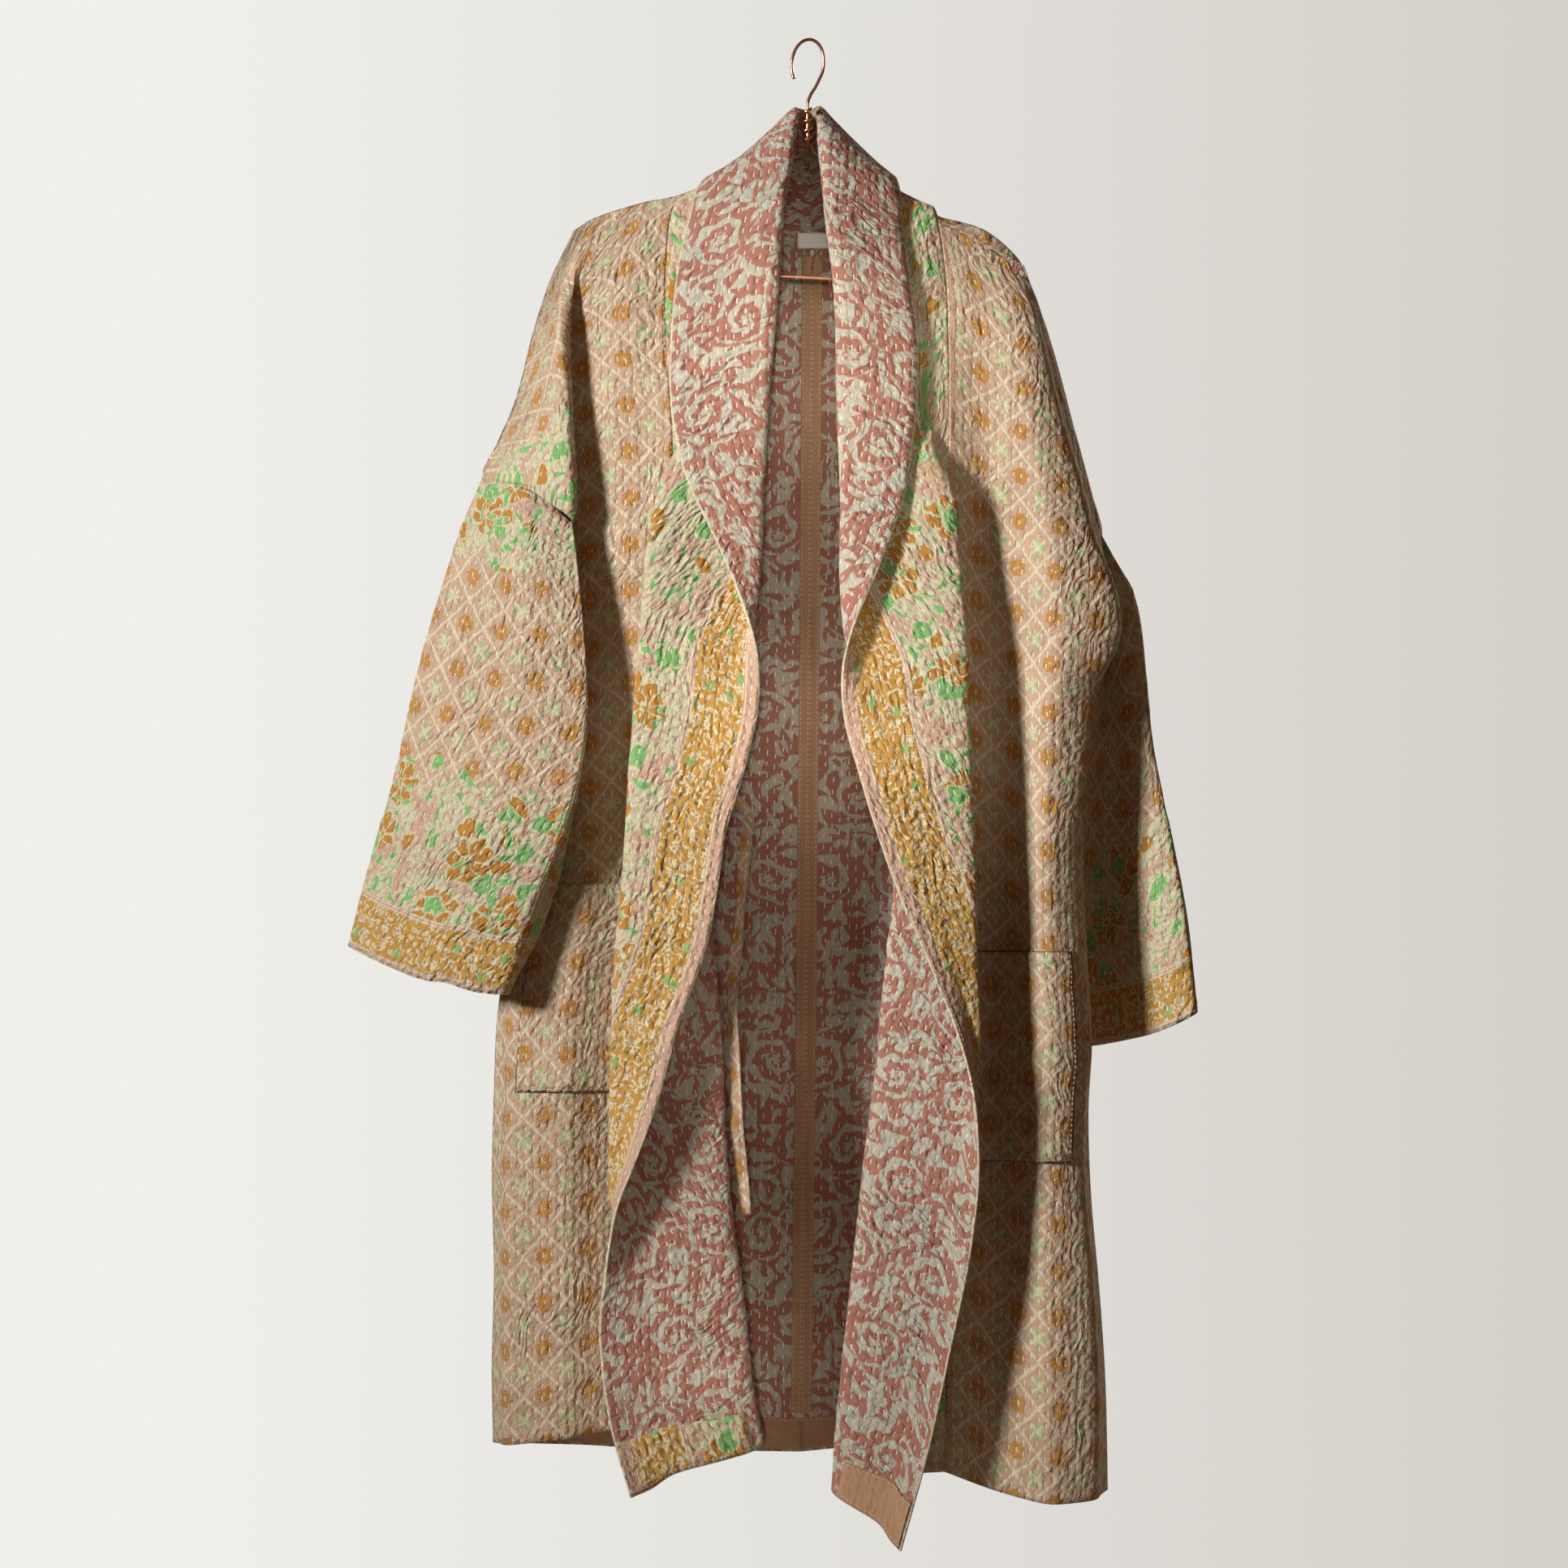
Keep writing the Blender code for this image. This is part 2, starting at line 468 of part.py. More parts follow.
def column_at(line, distance):
    """A fractional column at a distance along a row, from its end where it is negative."""
    run = np.concatenate([[0], np.cumsum(np.linalg.norm(line[1:] - line[:-1], axis=1))])
    place = distance if distance >= 0 else run[-1] + distance
    return float(np.interp(place, run, np.arange(len(run))))


def between(values, place):
    i = min(int(place), len(values) - 2)
    return values[i] * (i + 1 - place) + values[i + 1] * (place - i)


def patch(grid, normals, top, bottom, start, end, lift):
    """Points of a panel between two rows and two distances across, moved off it."""
    rows = [top] + [float(i) for i in range(len(grid)) if top + 0.2 < i < bottom - 0.2] + [bottom]
    lines = [(between(grid, row), between(normals, row)) for row in rows]
    starts = [column_at(line, start) for line, facing in lines]
    ends = [column_at(line, end) for line, facing in lines]
    inside = [float(j) for j in range(grid.shape[1])
              if max(starts) + 0.2 < j < min(ends) - 0.2]
    made = []
    turned = []
    for (line, facing), first, last in zip(lines, starts, ends):
        places = [first] + inside + [last]
        made.append([between(line, place) for place in places])
        turned.append([unit(between(facing, place)) for place in places])
    made = np.array(made)
    turned = np.array(turned)
    return made + turned * lift, turned


def sweep(name, path, radius, sides, material):
    """A round wire along a path, with flat ends."""
    path = np.asarray(path, float)
    tangents = np.gradient(path, axis=0)
    up = np.array([0.0, 1.0, 0.0])
    if abs(np.dot(unit(tangents[0]), up)) > 0.9:
        up = np.array([1.0, 0.0, 0.0])
    points = []
    for place, tangent in zip(path, tangents):
        tangent = unit(tangent)
        up = unit(up - tangent * np.dot(up, tangent))
        side = np.cross(tangent, up)
        for k in range(sides):
            angle = 2 * math.pi * k / sides
            points.append(place + radius * (math.cos(angle) * up + math.sin(angle) * side))
    faces = []
    for i in range(len(path) - 1):
        for k in range(sides):
            a = i * sides + k
            b = i * sides + (k + 1) % sides
            faces.append((a, b, b + sides, a + sides))
    faces.append(tuple(range(sides - 1, -1, -1)))
    faces.append(tuple((len(path) - 1) * sides + k for k in range(sides)))
    return make_object(name, points, faces, material)


def fold_pair(before, place, after):
    """The two sides of a fold, a fold's gap apart, or closer where its neighbours are near."""
    way = unit(unit(place - before) + unit(after - place))
    near = min(np.linalg.norm(place - before), np.linalg.norm(after - place))
    reach = min(FOLD_GAP / 2, 0.34 * near)
    return [place - way * reach, place + way * reach]


def band_sections(neck, table):
    """Control places across a band: seam, both sides of each of the three folds, free edge."""
    rows = []
    for seam, roll, edge in neck:
        seam, roll, edge = np.array(seam, float), np.array(roll, float), np.array(edge, float)
        rows.append([seam, seam * 0.7 + roll * 0.3, seam * 0.42 + roll * 0.58, roll, edge])
    for z, sx, fx, cx, rx, ex, sy, fy, cy, ry, ey, fold_drop, edge_drop in table:
        crest_z = z + fold_drop * 0.4 + edge_drop * 0.6
        roll_z = z + fold_drop * 0.15 + edge_drop * 0.85
        rows.append([np.array((sx, sy, z), float), np.array((fx, fy, z + fold_drop), float),
                     np.array((cx, cy, crest_z), float), np.array((rx, ry, roll_z), float),
                     np.array((ex, ey, z + edge_drop), float)])
    sections = []
    for row in rows:
        line = [row[0]]
        for k in (1, 2, 3):
            line += fold_pair(row[k - 1], row[k], row[k + 1])
        line.append(row[4])
        sections.append(line)
    return sections


def band(neck, table, sign):
    spans = (START_LEG, TURN, LEG, TURN, LEG, TURN, END_LEG)
    sections = [across(section, spans) for section in band_sections(neck, table)]
    grid = along(sections, BAND_STEP, least=(2, 2, 2, 2))
    return grid, normals_of(grid, sign)


def front(table, band_grid, band_normals, sign):
    rows = []
    for seam_z, middle, tuck, fold, outer in table:
        row = row_at(band_grid, 0, seam_z)
        i = min(int(row), len(band_grid) - 2)
        seam = band_grid[i, 0] * (i + 1 - row) + band_grid[i + 1, 0] * (row - i)
        tuck, fold, outer = np.array(tuck, float), np.array(fold, float), np.array(outer, float)
        wide = float(np.linalg.norm(outer - fold))
        bulge = FACE_BULGE * min(1.0, max(0.0, (wide - FACE_LEAST) / FACE_LEAST / 2))
        face = (fold + outer) / 2 - np.array((0, bulge, 0))
        middle = np.array(middle, float)
        rows.append([seam, middle] + fold_pair(middle, tuck, fold) + fold_pair(tuck, fold, face)
                    + [face, outer])
    sections = [across(row, (THIRDS, HALF, WHOLE, HALF, HALF, HALF, HALF)) for row in rows]
    grid = along(sections, FRONT_STEP)
    normals = normals_of(grid, sign)
    places = [(i, 0) for i in range(len(grid))]
    inner = [(i, 1) for i in range(len(grid))]
    join_edge(grid, normals, places, inner, band_grid[:, 0], band_normals[:, 0])
    return grid, normals


def back(table, sign, heights):
    """A back half; its rows end at the heights where the front's rows end."""
    sections = np.array([across(row, (HALF, HALF, HALF, THIRDS, THIRDS)) for row in table])
    gaps = np.linalg.norm(sections[1:] - sections[:-1], axis=2).mean(axis=1)
    knots = np.concatenate([[0], np.cumsum(gaps)])
    tried = np.linspace(0, knots[-1], 2000)
    reached = np.minimum.accumulate(hermite(sections[:, -1], knots, tried)[:, 2])
    targets = np.interp(-np.asarray(heights), -reached, tried)
    targets[0], targets[-1] = 0.0, knots[-1]
    grid = hermite(sections, knots, targets)
    return grid, normals_of(grid, sign)


def away_from(point, normal, inner):
    """One seam gap from a point, along the cloth and towards a piece's inner point."""
    away = inner - point
    return point + unit(away - normal * np.dot(away, normal)) * SEAM_GAP


def sew_back(back_grid, back_normals, front_grid, front_normals, band_grid, band_normals, rows):
    """Meets the neck seam, the shoulder seam, and the overarm and side seams."""
    columns = range(NECK_COLUMNS + 1)
    join_edge(back_grid, back_normals, [(0, j) for j in columns], [(1, j) for j in columns],
              band_grid[:, 0], band_normals[:, 0])
    met = []
    for j in range(NECK_COLUMNS + 1, back_grid.shape[1]):
        k = int(np.argmin(np.linalg.norm(front_grid[0] - back_grid[0, j], axis=1)))
        back_normals[0, j] = unit(front_normals[0, k] + back_normals[0, j])
        back_grid[0, j] = away_from(front_grid[0, k], back_normals[0, j], back_grid[1, j])
        met.append((k, back_normals[0, j]))
    for (k0, start), (k1, end) in zip(met[:-1], met[1:]):
        for k in range(k0, k1 + 1):
            part = (k - k0) / (k1 - k0)
            front_normals[0, k] = start * (1 - part) + end * part
            front_grid[0, k] = front_grid[0, k0] * (1 - part) + front_grid[0, k1] * part
    for i in rows:
        shared = unit(front_normals[i, -1] + back_normals[i, -1])
        front_normals[i, -1] = back_normals[i, -1] = shared
        back_grid[i, -1] = away_from(front_grid[i, -1], shared, back_grid[i, -2])


def sleeve(table, rows, corner, front_panel, back_panel, sign):
    """A tube from the armhole to the cuff; its columns start on the ends of the panels' rows."""
    front_grid, front_normals = front_panel
    back_grid, back_normals = back_panel
    up = list(range(rows[1], rows[0] - 1, -1))
    down = list(range(rows[0] + 1, rows[1] + 1))
    edge = ([(front_grid, front_normals, i) for i in up]
            + [(back_grid, back_normals, i) for i in down])
    points = np.array([grid[i, -1] for grid, normals, i in edge])
    points[0] = points[-1] = (points[0] + points[-1]) / 2
    run = np.concatenate([[0], np.cumsum(np.linalg.norm(points[1:] - points[:-1], axis=1))])
    turn, over = up.index(corner), len(up) - 1
    stops = [run[0], run[turn], run[over], run[-1]]
    places = sorted(list(run) + [(a + b) / 2 for a, b in zip(run[:-1], run[1:])]
                    + [run[k] + side * CORNER_REACH for k in (turn, over) for side in (-1, 1)])
    top = np.array([[np.interp(place, run, points[:, k]) for k in range(3)] for place in places])
    sections = []
    for row in table:
        under, inside, middle, outside, behind, within = [np.array(place, float) for place in row]
        row = np.array([under] + fold_pair(under, inside, middle) + [middle]
                       + fold_pair(middle, outside, behind) + [behind, within, under])
        gaps = np.linalg.norm(row[1:] - row[:-1], axis=1)
        knots = np.concatenate([[0], np.cumsum(gaps ** 0.5)])
        ends = [knots[0], (knots[1] + knots[2]) / 2, (knots[4] + knots[5]) / 2, knots[-1]]
        sections.append(hermite(row, knots, np.interp(places, stops, ends)))
    grid = along([top] + sections, SLEEVE_STEP)[:, :-1]
    around = np.concatenate([grid[:, -1:], grid, grid[:, :1]], axis=1)
    normals = normals_of(around, sign)[:, 1:-1]
    own = [int(np.argmin([abs(place - reached) for place in places])) for reached in run[:-1]]
    shared = [unit(normals[0, j] + panel_normals[i, -1])
              for j, (panel, panel_normals, i) in zip(own, edge)]
    shared.append(shared[0])
    for turned, (panel, panel_normals, i) in zip(shared, edge):
        panel_normals[i, -1] = turned
    back_normals[rows[0], -1] = shared[over]
    shared = np.array(shared)
    gap_places = [run[0], run[turn] * 0.6, run[turn], run[turn] + 3 * CORNER_REACH, run[over],
                  (run[over] + run[-1]) / 2, run[-1]]
    gap_sizes = [HIDDEN_GAP, HIDDEN_GAP, CORNER_GAP, SEAM_GAP, SEAM_GAP, HIDDEN_GAP / 2, HIDDEN_GAP]
    for j, place in enumerate(places[:-1]):
        normals[0, j] = [np.interp(place, run, shared[:, k]) for k in range(3)]
        k = min(int(np.searchsorted(run, place, side="right")) - 1, len(edge) - 2)
        tangent = points[k + 1] - points[k]
        if place == run[k]:
            tangent = points[k + 1] - points[k - 1 if k else -2]
        away = unit(np.cross(normals[0, j], unit(tangent))) * sign
        grid[0, j] = top[j] + away * np.interp(place, gap_places, gap_sizes)
    return grid, normals


for item in list(bpy.data.objects):
    bpy.data.objects.remove(item, do_unlink=True)

outer_cloth = flat_material("outer_print", (0.52, 0.36, 0.25))
band_cloth = flat_material("band_print", (0.55, 0.33, 0.16))
plain_cloth = flat_material("plain_pink", (0.50, 0.32, 0.22))
label_cloth = flat_material("label_white", (0.75, 0.73, 0.68))
copper = flat_material("copper_wire", (0.62, 0.33, 0.18), 0.35, 1.0)

# Bands with the shawl collar, each one strip from the hem to the centre back neck
band_left, band_left_n = band(NECK_LEFT, BAND_LEFT, -1)
band_right, band_right_n = band(NECK_RIGHT, BAND_RIGHT, 1)

# Fronts and backs, sewn at the overarm and the sides
front_left, front_left_n = front(FRONT_LEFT, band_left, band_left_n, 1)
front_right, front_right_n = front(FRONT_RIGHT, band_right, band_right_n, -1)
back_left, back_left_n = back(BACK_LEFT, -1, front_left[:, -1, 2])
back_right, back_right_n = back(BACK_RIGHT, 1, front_right[:, -1, 2])
ARMHOLE_LEFT = [int(row_at(front_left, -1, height) + 0.5) for height in (-386, -512, -430)]
ARMHOLE_RIGHT = [int(row_at(front_right, -1, height) + 0.5) for height in (-436, -532, -491)]
for front_part, back_part, band_part, armhole in (
        ((front_left, front_left_n), (back_left, back_left_n), (band_left, band_left_n),
         ARMHOLE_LEFT),
        ((front_right, front_right_n), (back_right, back_right_n), (band_right, band_right_n),
         ARMHOLE_RIGHT)):
    rows = [i for i in range(1, len(front_part[0])) if i <= armhole[0] or i >= armhole[1]]
    sew_back(*back_part, *front_part, *band_part, rows)

# Sleeves, hung from the dropped armholes
sleeve_left, sleeve_left_n = sleeve(
    SLEEVE_LEFT, ARMHOLE_LEFT[:2], ARMHOLE_LEFT[2], (front_left, front_left_n),
    (back_left, back_left_n), 1)
sleeve_right, sleeve_right_n = sleeve(
    SLEEVE_RIGHT, ARMHOLE_RIGHT[:2], ARMHOLE_RIGHT[2], (front_right, front_right_n),
    (back_right, back_right_n), -1)

for name, grid, normals, material in (
        ("band_left", band_left, band_left_n, band_cloth),
        ("band_right", band_right, band_right_n, band_cloth),
        ("front_left", front_left, front_left_n, outer_cloth),
        ("front_right", front_right, front_right_n, outer_cloth),
        ("back_left", back_left, back_left_n, outer_cloth),
        ("back_right", back_right, back_right_n, outer_cloth),
        ("sleeve_left", sleeve_left, sleeve_left_n, outer_cloth),
        ("sleeve_right", sleeve_right, sleeve_right_n, outer_cloth)):
    wall(name, grid, normals, CLOTH, material, PUCKER, tube=name.startswith("sleeve"))


def lay_on(name, panel, normals, heights, column, reach, side, thickness, material):
    """A flat piece laid on a panel's outer (side 1) or inner (side -1) face."""
    top, bottom = row_at(panel, column, heights[0]), row_at(panel, column, heights[1])
    lift = side * (CLOTH / 2 + PUCKER * (side > 0) + LAY_GAP + thickness / 2)
    grid, facing = patch(panel, normals, top, bottom, reach[0], reach[1], lift)
    return wall(name, grid, facing, thickness, material)


# Patch pockets, their far edge under the band's folds
for name, panel, normals, top, bottom in (
        ("pocket_left", front_left, front_left_n, -747, -930),
        ("pocket_right", front_right, front_right_n, -806, -992)):
    lay_on(name, panel, normals, (top, bottom), 9, (-POCKET_SIDE - POCKET_WIDTH, -POCKET_SIDE),
           1, POCKET_CLOTH, outer_cloth)

# Centre-back tape in two halves on the inside, and the hem facings
for side, panel, normals in (("left", back_left, back_left_n), ("right", back_right, back_right_n)):
    lay_on("centre_back_tape_" + side, panel, normals, (-186, -1222), 0, (0.0, TAPE_WIDTH), -1,
           TAPE_CLOTH, plain_cloth)
    lay_on("hem_facing_back_" + side, panel, normals, (-1226, -1254), 0, (0.0, -FACING_WIDTH), -1,
           FACING, plain_cloth)
for side, panel, normals, top, bottom, wide in (
        ("left", band_left, band_left_n, -1196, -1225.5, 117.0),
        ("right", band_right, band_right_n, -1234, -1263.5, 75.0)):
    lay_on("hem_facing_front_" + side, panel, normals, (top, bottom), 0, (-wide, -3.0), -1,
           FACING, plain_cloth)

# Inner tie, a flat strip with a free end
middle = np.array([place for place, way in TIE], float)
ways = np.array([unit(np.array(way, float)) for place, way in TIE])
edges = np.stack([middle - ways * TIE_WIDTH / 2, middle + ways * TIE_WIDTH / 2], axis=1)
tie_grid = along(edges, TIE_STEP)
tie_normals = np.cross(tie_grid[:, 1] - tie_grid[:, 0], np.gradient(tie_grid.mean(axis=1), axis=0))
tie_normals = np.array([unit(n) for n in tie_normals])
wall("tie", tie_grid, np.stack([tie_normals, tie_normals], axis=1), TIE_CLOTH, outer_cloth)

# Blank neck label on the inside of the collar's stand
label_x, label_y, label_z = LABEL
columns = np.linspace(label_x, label_x + LABEL_WIDTH, 4)
label_grid = np.array([[(x, label_y - LABEL_CURVE * (x - 5) ** 2, z) for x in columns]
                       for z in (label_z, label_z - LABEL_HEIGHT)])
wall("neck_label", label_grid, normals_of(label_grid, -1), LABEL_CLOTH, label_cloth)

# Wire hanger: hook with a straight foot, a wrapped arm, a plain arm and the bottom bar
hook = []
for k in range(HOOK_STEPS + 1):
    angle = math.radians(HOOK_START - k * (HOOK_START - HOOK_END) / HOOK_STEPS)
    hook.append(((HOOK_INNER + WIRE) * math.cos(angle), (HOOK_INNER + WIRE) * math.sin(angle)))
hook += HOOK_FOOT
hook_path = [(HOOK_MIDDLE + s * math.cos(HOOK_TURN), -s * math.sin(HOOK_TURN), z - HOOK_INNER)
             for s, z in hook]
sweep("hanger_hook", hook_path, WIRE, 8, copper)

arm = across([(x, 0.0, z) for x, z in ARM_LEFT], [HALF] * (len(ARM_LEFT) - 1))
sweep("hanger_arm_left", arm, WIRE, 8, copper)
twist = []
reach = 2 * WIRE + TWIST_CLEARANCE
for k in range(TWIST_TURNS * TWIST_STEPS + 1):
    angle = 2 * math.pi * k / TWIST_STEPS
    height = TWIST_TOP + (TWIST_FOOT - TWIST_TOP) * k / (TWIST_TURNS * TWIST_STEPS)
    twist.append((HOOK_MIDDLE + reach * math.cos(angle), -reach * math.sin(angle), height))
arm = across([(x, 0.0, z) for x, z in ARM_RIGHT], [HALF] * (len(ARM_RIGHT) - 1))
sweep("hanger_arm_right", twist + [tuple(p) for p in arm], WIRE, 8, copper)
bar = across([(x, 0.0, z) for x, z in BAR], [HALF] * (len(BAR) - 1))
sweep("hanger_bar", bar, WIRE, 8, copper)
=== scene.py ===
"""Quilted open kimono coat on a copper wire hanger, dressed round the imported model."""
import math

import bmesh
import bpy
import numpy as np
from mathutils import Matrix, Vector, noise


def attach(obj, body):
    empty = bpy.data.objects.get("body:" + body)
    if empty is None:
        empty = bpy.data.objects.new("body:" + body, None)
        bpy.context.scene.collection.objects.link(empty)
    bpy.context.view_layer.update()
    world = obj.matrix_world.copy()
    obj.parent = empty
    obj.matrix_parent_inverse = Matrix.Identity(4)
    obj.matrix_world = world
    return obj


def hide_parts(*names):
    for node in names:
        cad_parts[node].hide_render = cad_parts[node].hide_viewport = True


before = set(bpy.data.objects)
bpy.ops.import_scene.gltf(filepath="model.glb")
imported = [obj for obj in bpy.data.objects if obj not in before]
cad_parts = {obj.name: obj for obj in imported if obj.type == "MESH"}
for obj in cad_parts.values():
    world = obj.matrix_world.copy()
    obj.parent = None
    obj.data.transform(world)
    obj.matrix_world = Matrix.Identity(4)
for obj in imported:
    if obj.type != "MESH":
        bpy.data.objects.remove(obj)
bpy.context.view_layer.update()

# Camera
# Level with the middle of the coat and square to it, at the distance of a shop photograph.
picture_width = 1.391
camera_distance = 5.0
camera_data = bpy.data.cameras.new("camera")
camera_data.sensor_width = 36
camera_data.lens = 36 * camera_distance / picture_width
camera = bpy.data.objects.new("camera", camera_data)
camera.location = (-0.020, -camera_distance, -0.659)
camera.rotation_euler = (math.radians(90), 0, 0)
bpy.context.scene.collection.objects.link(camera)
bpy.context.scene.camera = camera

# Printed cloth
# Old printed cotton in two layers, quilted by hand with rows of pale running stitches that pucker
# it. The outer side is printed with a small flower lattice, the reverse with two-colour scrolls.
CELL = (0.0385, 0.0410)
LATTICE_LINE = 0.044
SCROLL_CELL = (0.066, 0.078)
STITCH_ROW = 0.0073
STITCH_STEP = 0.0105
STITCH_COVER = 0.95
FREE_EDGE_LINE = 0.0014
EDGE_SOFT = 0.0003


def linear(code):
    """A colour written as six hex digits, as linear values."""
    parts = [int(code[k:k + 2], 16) / 255 for k in (0, 2, 4)]
    return tuple(p / 12.92 if p < 0.04045 else ((p + 0.055) / 1.055) ** 2.4 for p in parts) + (1.0,)


class Board:
    """Short ways to add nodes to one tree. Apart from add and link, each gives output sockets."""

    def __init__(self, tree):
        self.tree = tree

    def add(self, kind, inputs=(), **settings):
        node = self.tree.nodes.new(kind)
        for key, value in settings.items():
            setattr(node, key, value)
        for key, value in inputs:
            if isinstance(value, bpy.types.NodeSocket):
                self.link(value, node.inputs[key])
            elif value is not None:
                node.inputs[key].default_value = value
        return node

    def link(self, value, socket):
        self.tree.links.new(value, socket)

    def math(self, kind, a, b=None, c=None, clamp=False):
        return self.add("ShaderNodeMath", [(0, a), (1, b), (2, c)], operation=kind,
                        use_clamp=clamp).outputs[0]

    def plus(self, a, b):
        return self.math("ADD", a, b)

    def minus(self, a, b):
        return self.math("SUBTRACT", a, b)

    def times(self, a, b):
        return self.math("MULTIPLY", a, b)

    def spread(self, a, factor, start, clamp=False):
        """A value times a factor, counted from a start."""
        return self.math("MULTIPLY_ADD", a, factor, start, clamp)

    def size(self, a):
        return self.math("ABSOLUTE", a)

    def vector(self, kind, a, b):
        return self.add("ShaderNodeVectorMath", [(0, a), (1, b)], operation=kind).outputs[0]

    def turned(self, place, angle):
        return self.add("ShaderNodeVectorRotate", [("Vector", place), ("Angle", angle)],
                        rotation_type="Z_AXIS").outputs[0]

    def join(self, x, y, z=0.0):
        return self.add("ShaderNodeCombineXYZ", [(0, x), (1, y), (2, z)]).outputs[0]

    def split(self, vector):
        node = self.add("ShaderNodeSeparateXYZ", [(0, vector)])
        return node.outputs[0], node.outputs[1]

    def below(self, value, limit, soft):
        """1 where a value is under a limit, with a soft step."""
        if isinstance(limit, bpy.types.NodeSocket):
            low, high = self.plus(limit, -soft), self.plus(limit, soft)
        else:
            low, high = limit - soft, limit + soft
        return self.add("ShaderNodeMapRange", [("Value", value), ("From Min", low), ("From Max", high),
                        ("To Min", 1.0), ("To Max", 0.0)], interpolation_type="SMOOTHSTEP").outputs[0]

    def within(self, value, low, high, soft):
        return self.times(self.below(value, high, soft), self.flip(self.below(value, low, soft)))

    def both(self, a, b):
        return self.times(a, b)

    def most(self, a, b):
        return self.math("MAXIMUM", a, b)

    def flip(self, a):
        return self.minus(1.0, a)

    def paint(self, mask, under, over):
        return self.add("ShaderNodeMix", [(0, mask), (6, under), (7, over)], data_type="RGBA").outputs[2]

    def noise(self, place, scale, detail, kind="2D", output="Fac"):
        return self.add("ShaderNodeTexNoise", [("Vector", place), ("Scale", scale), ("Detail", detail)],
                        noise_dimensions=kind).outputs[output]

    def warped(self, place, scale, reach):
        """A place moved unevenly, by up to half the reach each way."""
        drift = self.vector("SUBTRACT", self.noise(place, scale, 1.0, output="Color"), (0.5, 0.5, 0.5))
        return self.vector("ADD", place, self.vector("MULTIPLY", drift, (reach, reach, 0.0)))

    def random(self, place):
        return self.add("ShaderNodeTexWhiteNoise", [("Vector", place)],
                        noise_dimensions="3D").outputs["Value"]

    def polar(self, x, y):
        distance = self.math("SQRT", self.plus(self.times(x, x), self.times(y, y)))
        return distance, self.math("ARCTAN2", y, x)

    def rays(self, angle, count, turn=0.0):
        """From 0 between rays to 1 along them."""
        wave = self.math("COSINE", self.plus(self.times(angle, float(count)), turn))
        return self.spread(wave, 0.5, 0.5)


def new_group(name, inputs, outputs):
    group = bpy.data.node_groups.new(name, "ShaderNodeTree")
    for label, kind in inputs:
        group.interface.new_socket(label, in_out="INPUT", socket_type=kind)
    for label, kind in outputs:
        group.interface.new_socket(label, in_out="OUTPUT", socket_type=kind)
    start = group.nodes.new("NodeGroupInput")
    end = group.nodes.new("NodeGroupOutput")
    return group, Board(group), start.outputs, end.inputs


def use_group(board, group, **inputs):
    return board.add("ShaderNodeGroup", inputs.items(), node_tree=group).outputs


FLOAT, COLOUR, VECTOR = "NodeSocketFloat", "NodeSocketColor", "NodeSocketVector"
PINK, CREAM, OCHRE, PALE_GREEN, GREEN, GOLD = [
    linear(code) for code in ("C2A389", "D6CAAB", "B8833C", "C7C5A2", "7FB36C", "C5994E")]
ROSE, TERRACOTTA, SAGE = [linear(code) for code in ("C6A28B", "A56D5E", "B8B6A4")]

# Scattered motifs, one in each uneven cell, turned at random: a place in it, and a value to pick by
scatter, board, given, out = new_group(
    "scatter", [("Place", VECTOR), ("Size", FLOAT), ("Seed", FLOAT)],
    [("Across", FLOAT), ("Along", FLOAT), ("Pick", FLOAT)])
size = board.join(given["Size"], given["Size"], 1.0)
start = board.join(given["Seed"], board.times(given["Seed"], 1.7))
scaled = board.vector("ADD", board.vector("DIVIDE", given["Place"], size), start)
cells = board.add("ShaderNodeTexVoronoi", [("Vector", scaled), ("Scale", 1.0), ("Randomness", 0.75)],
                  voronoi_dimensions="2D").outputs
local = board.vector("SUBTRACT", scaled, cells["Position"])
turn, pick = board.split(cells["Color"])
x, y = board.split(board.turned(local, board.times(turn, 2 * math.pi)))
board.link(x, out["Across"])
board.link(y, out["Along"])
board.link(pick, out["Pick"])


def leaf(board, x, y, length, width):
    """A pointed leaf along x."""
    bend = board.times(board.times(x, x), width / (length * length))
    return board.below(board.plus(board.size(y), bend), width, 0.03)


# Flower lattice: thin diamond lines round an ochre rosette or a pale green star, by turns. Reaches
# from the middle of a cell are in millimetres
lattice, board, given, out = new_group("flower_lattice", [("Place", VECTOR), ("Turn", FLOAT)],
                                       [("Color", COLOUR)])
turned = board.turned(given["Place"], given["Turn"])
wobble = board.spread(board.noise(turned, 45.0, 1.0), 0.0036, -0.0018)
x, y = board.split(turned)
x = board.math("DIVIDE", board.plus(x, wobble), CELL[0])
y = board.math("DIVIDE", board.plus(y, wobble), CELL[1])
p, q = board.plus(x, y), board.minus(x, y)
p_cell, q_cell = board.math("ROUND", p), board.math("ROUND", q)
dp, dq = board.minus(p, p_cell), board.minus(q, q_cell)
odd = board.math("MODULO", board.size(board.plus(p_cell, q_cell)), 2.0)
distance, angle = board.polar(board.times(board.plus(dp, dq), 500 * CELL[0]),
                              board.times(board.minus(dp, dq), 500 * CELL[1]))
ragged = board.plus(distance, board.spread(board.noise(turned, 620.0, 1.0), 2.2, -1.1))
ground = board.paint(board.noise(turned, 26.0, 2.0), linear("BC9B81"), linear("C8AA90"))
edge = board.minus(0.5, board.most(board.size(dp), board.size(dq)))
worn = board.spread(board.noise(turned, 240.0, 1.0), 0.7, 0.55, clamp=True)
colour = board.paint(board.both(board.below(edge, LATTICE_LINE, 0.014), worn), ground, CREAM)
rosette = board.below(ragged, board.spread(board.rays(angle, 8, math.pi), 1.4, 6.8), 0.6)
ring = board.both(board.within(distance, 2.2, 3.2, 0.4), board.rays(angle, 8))
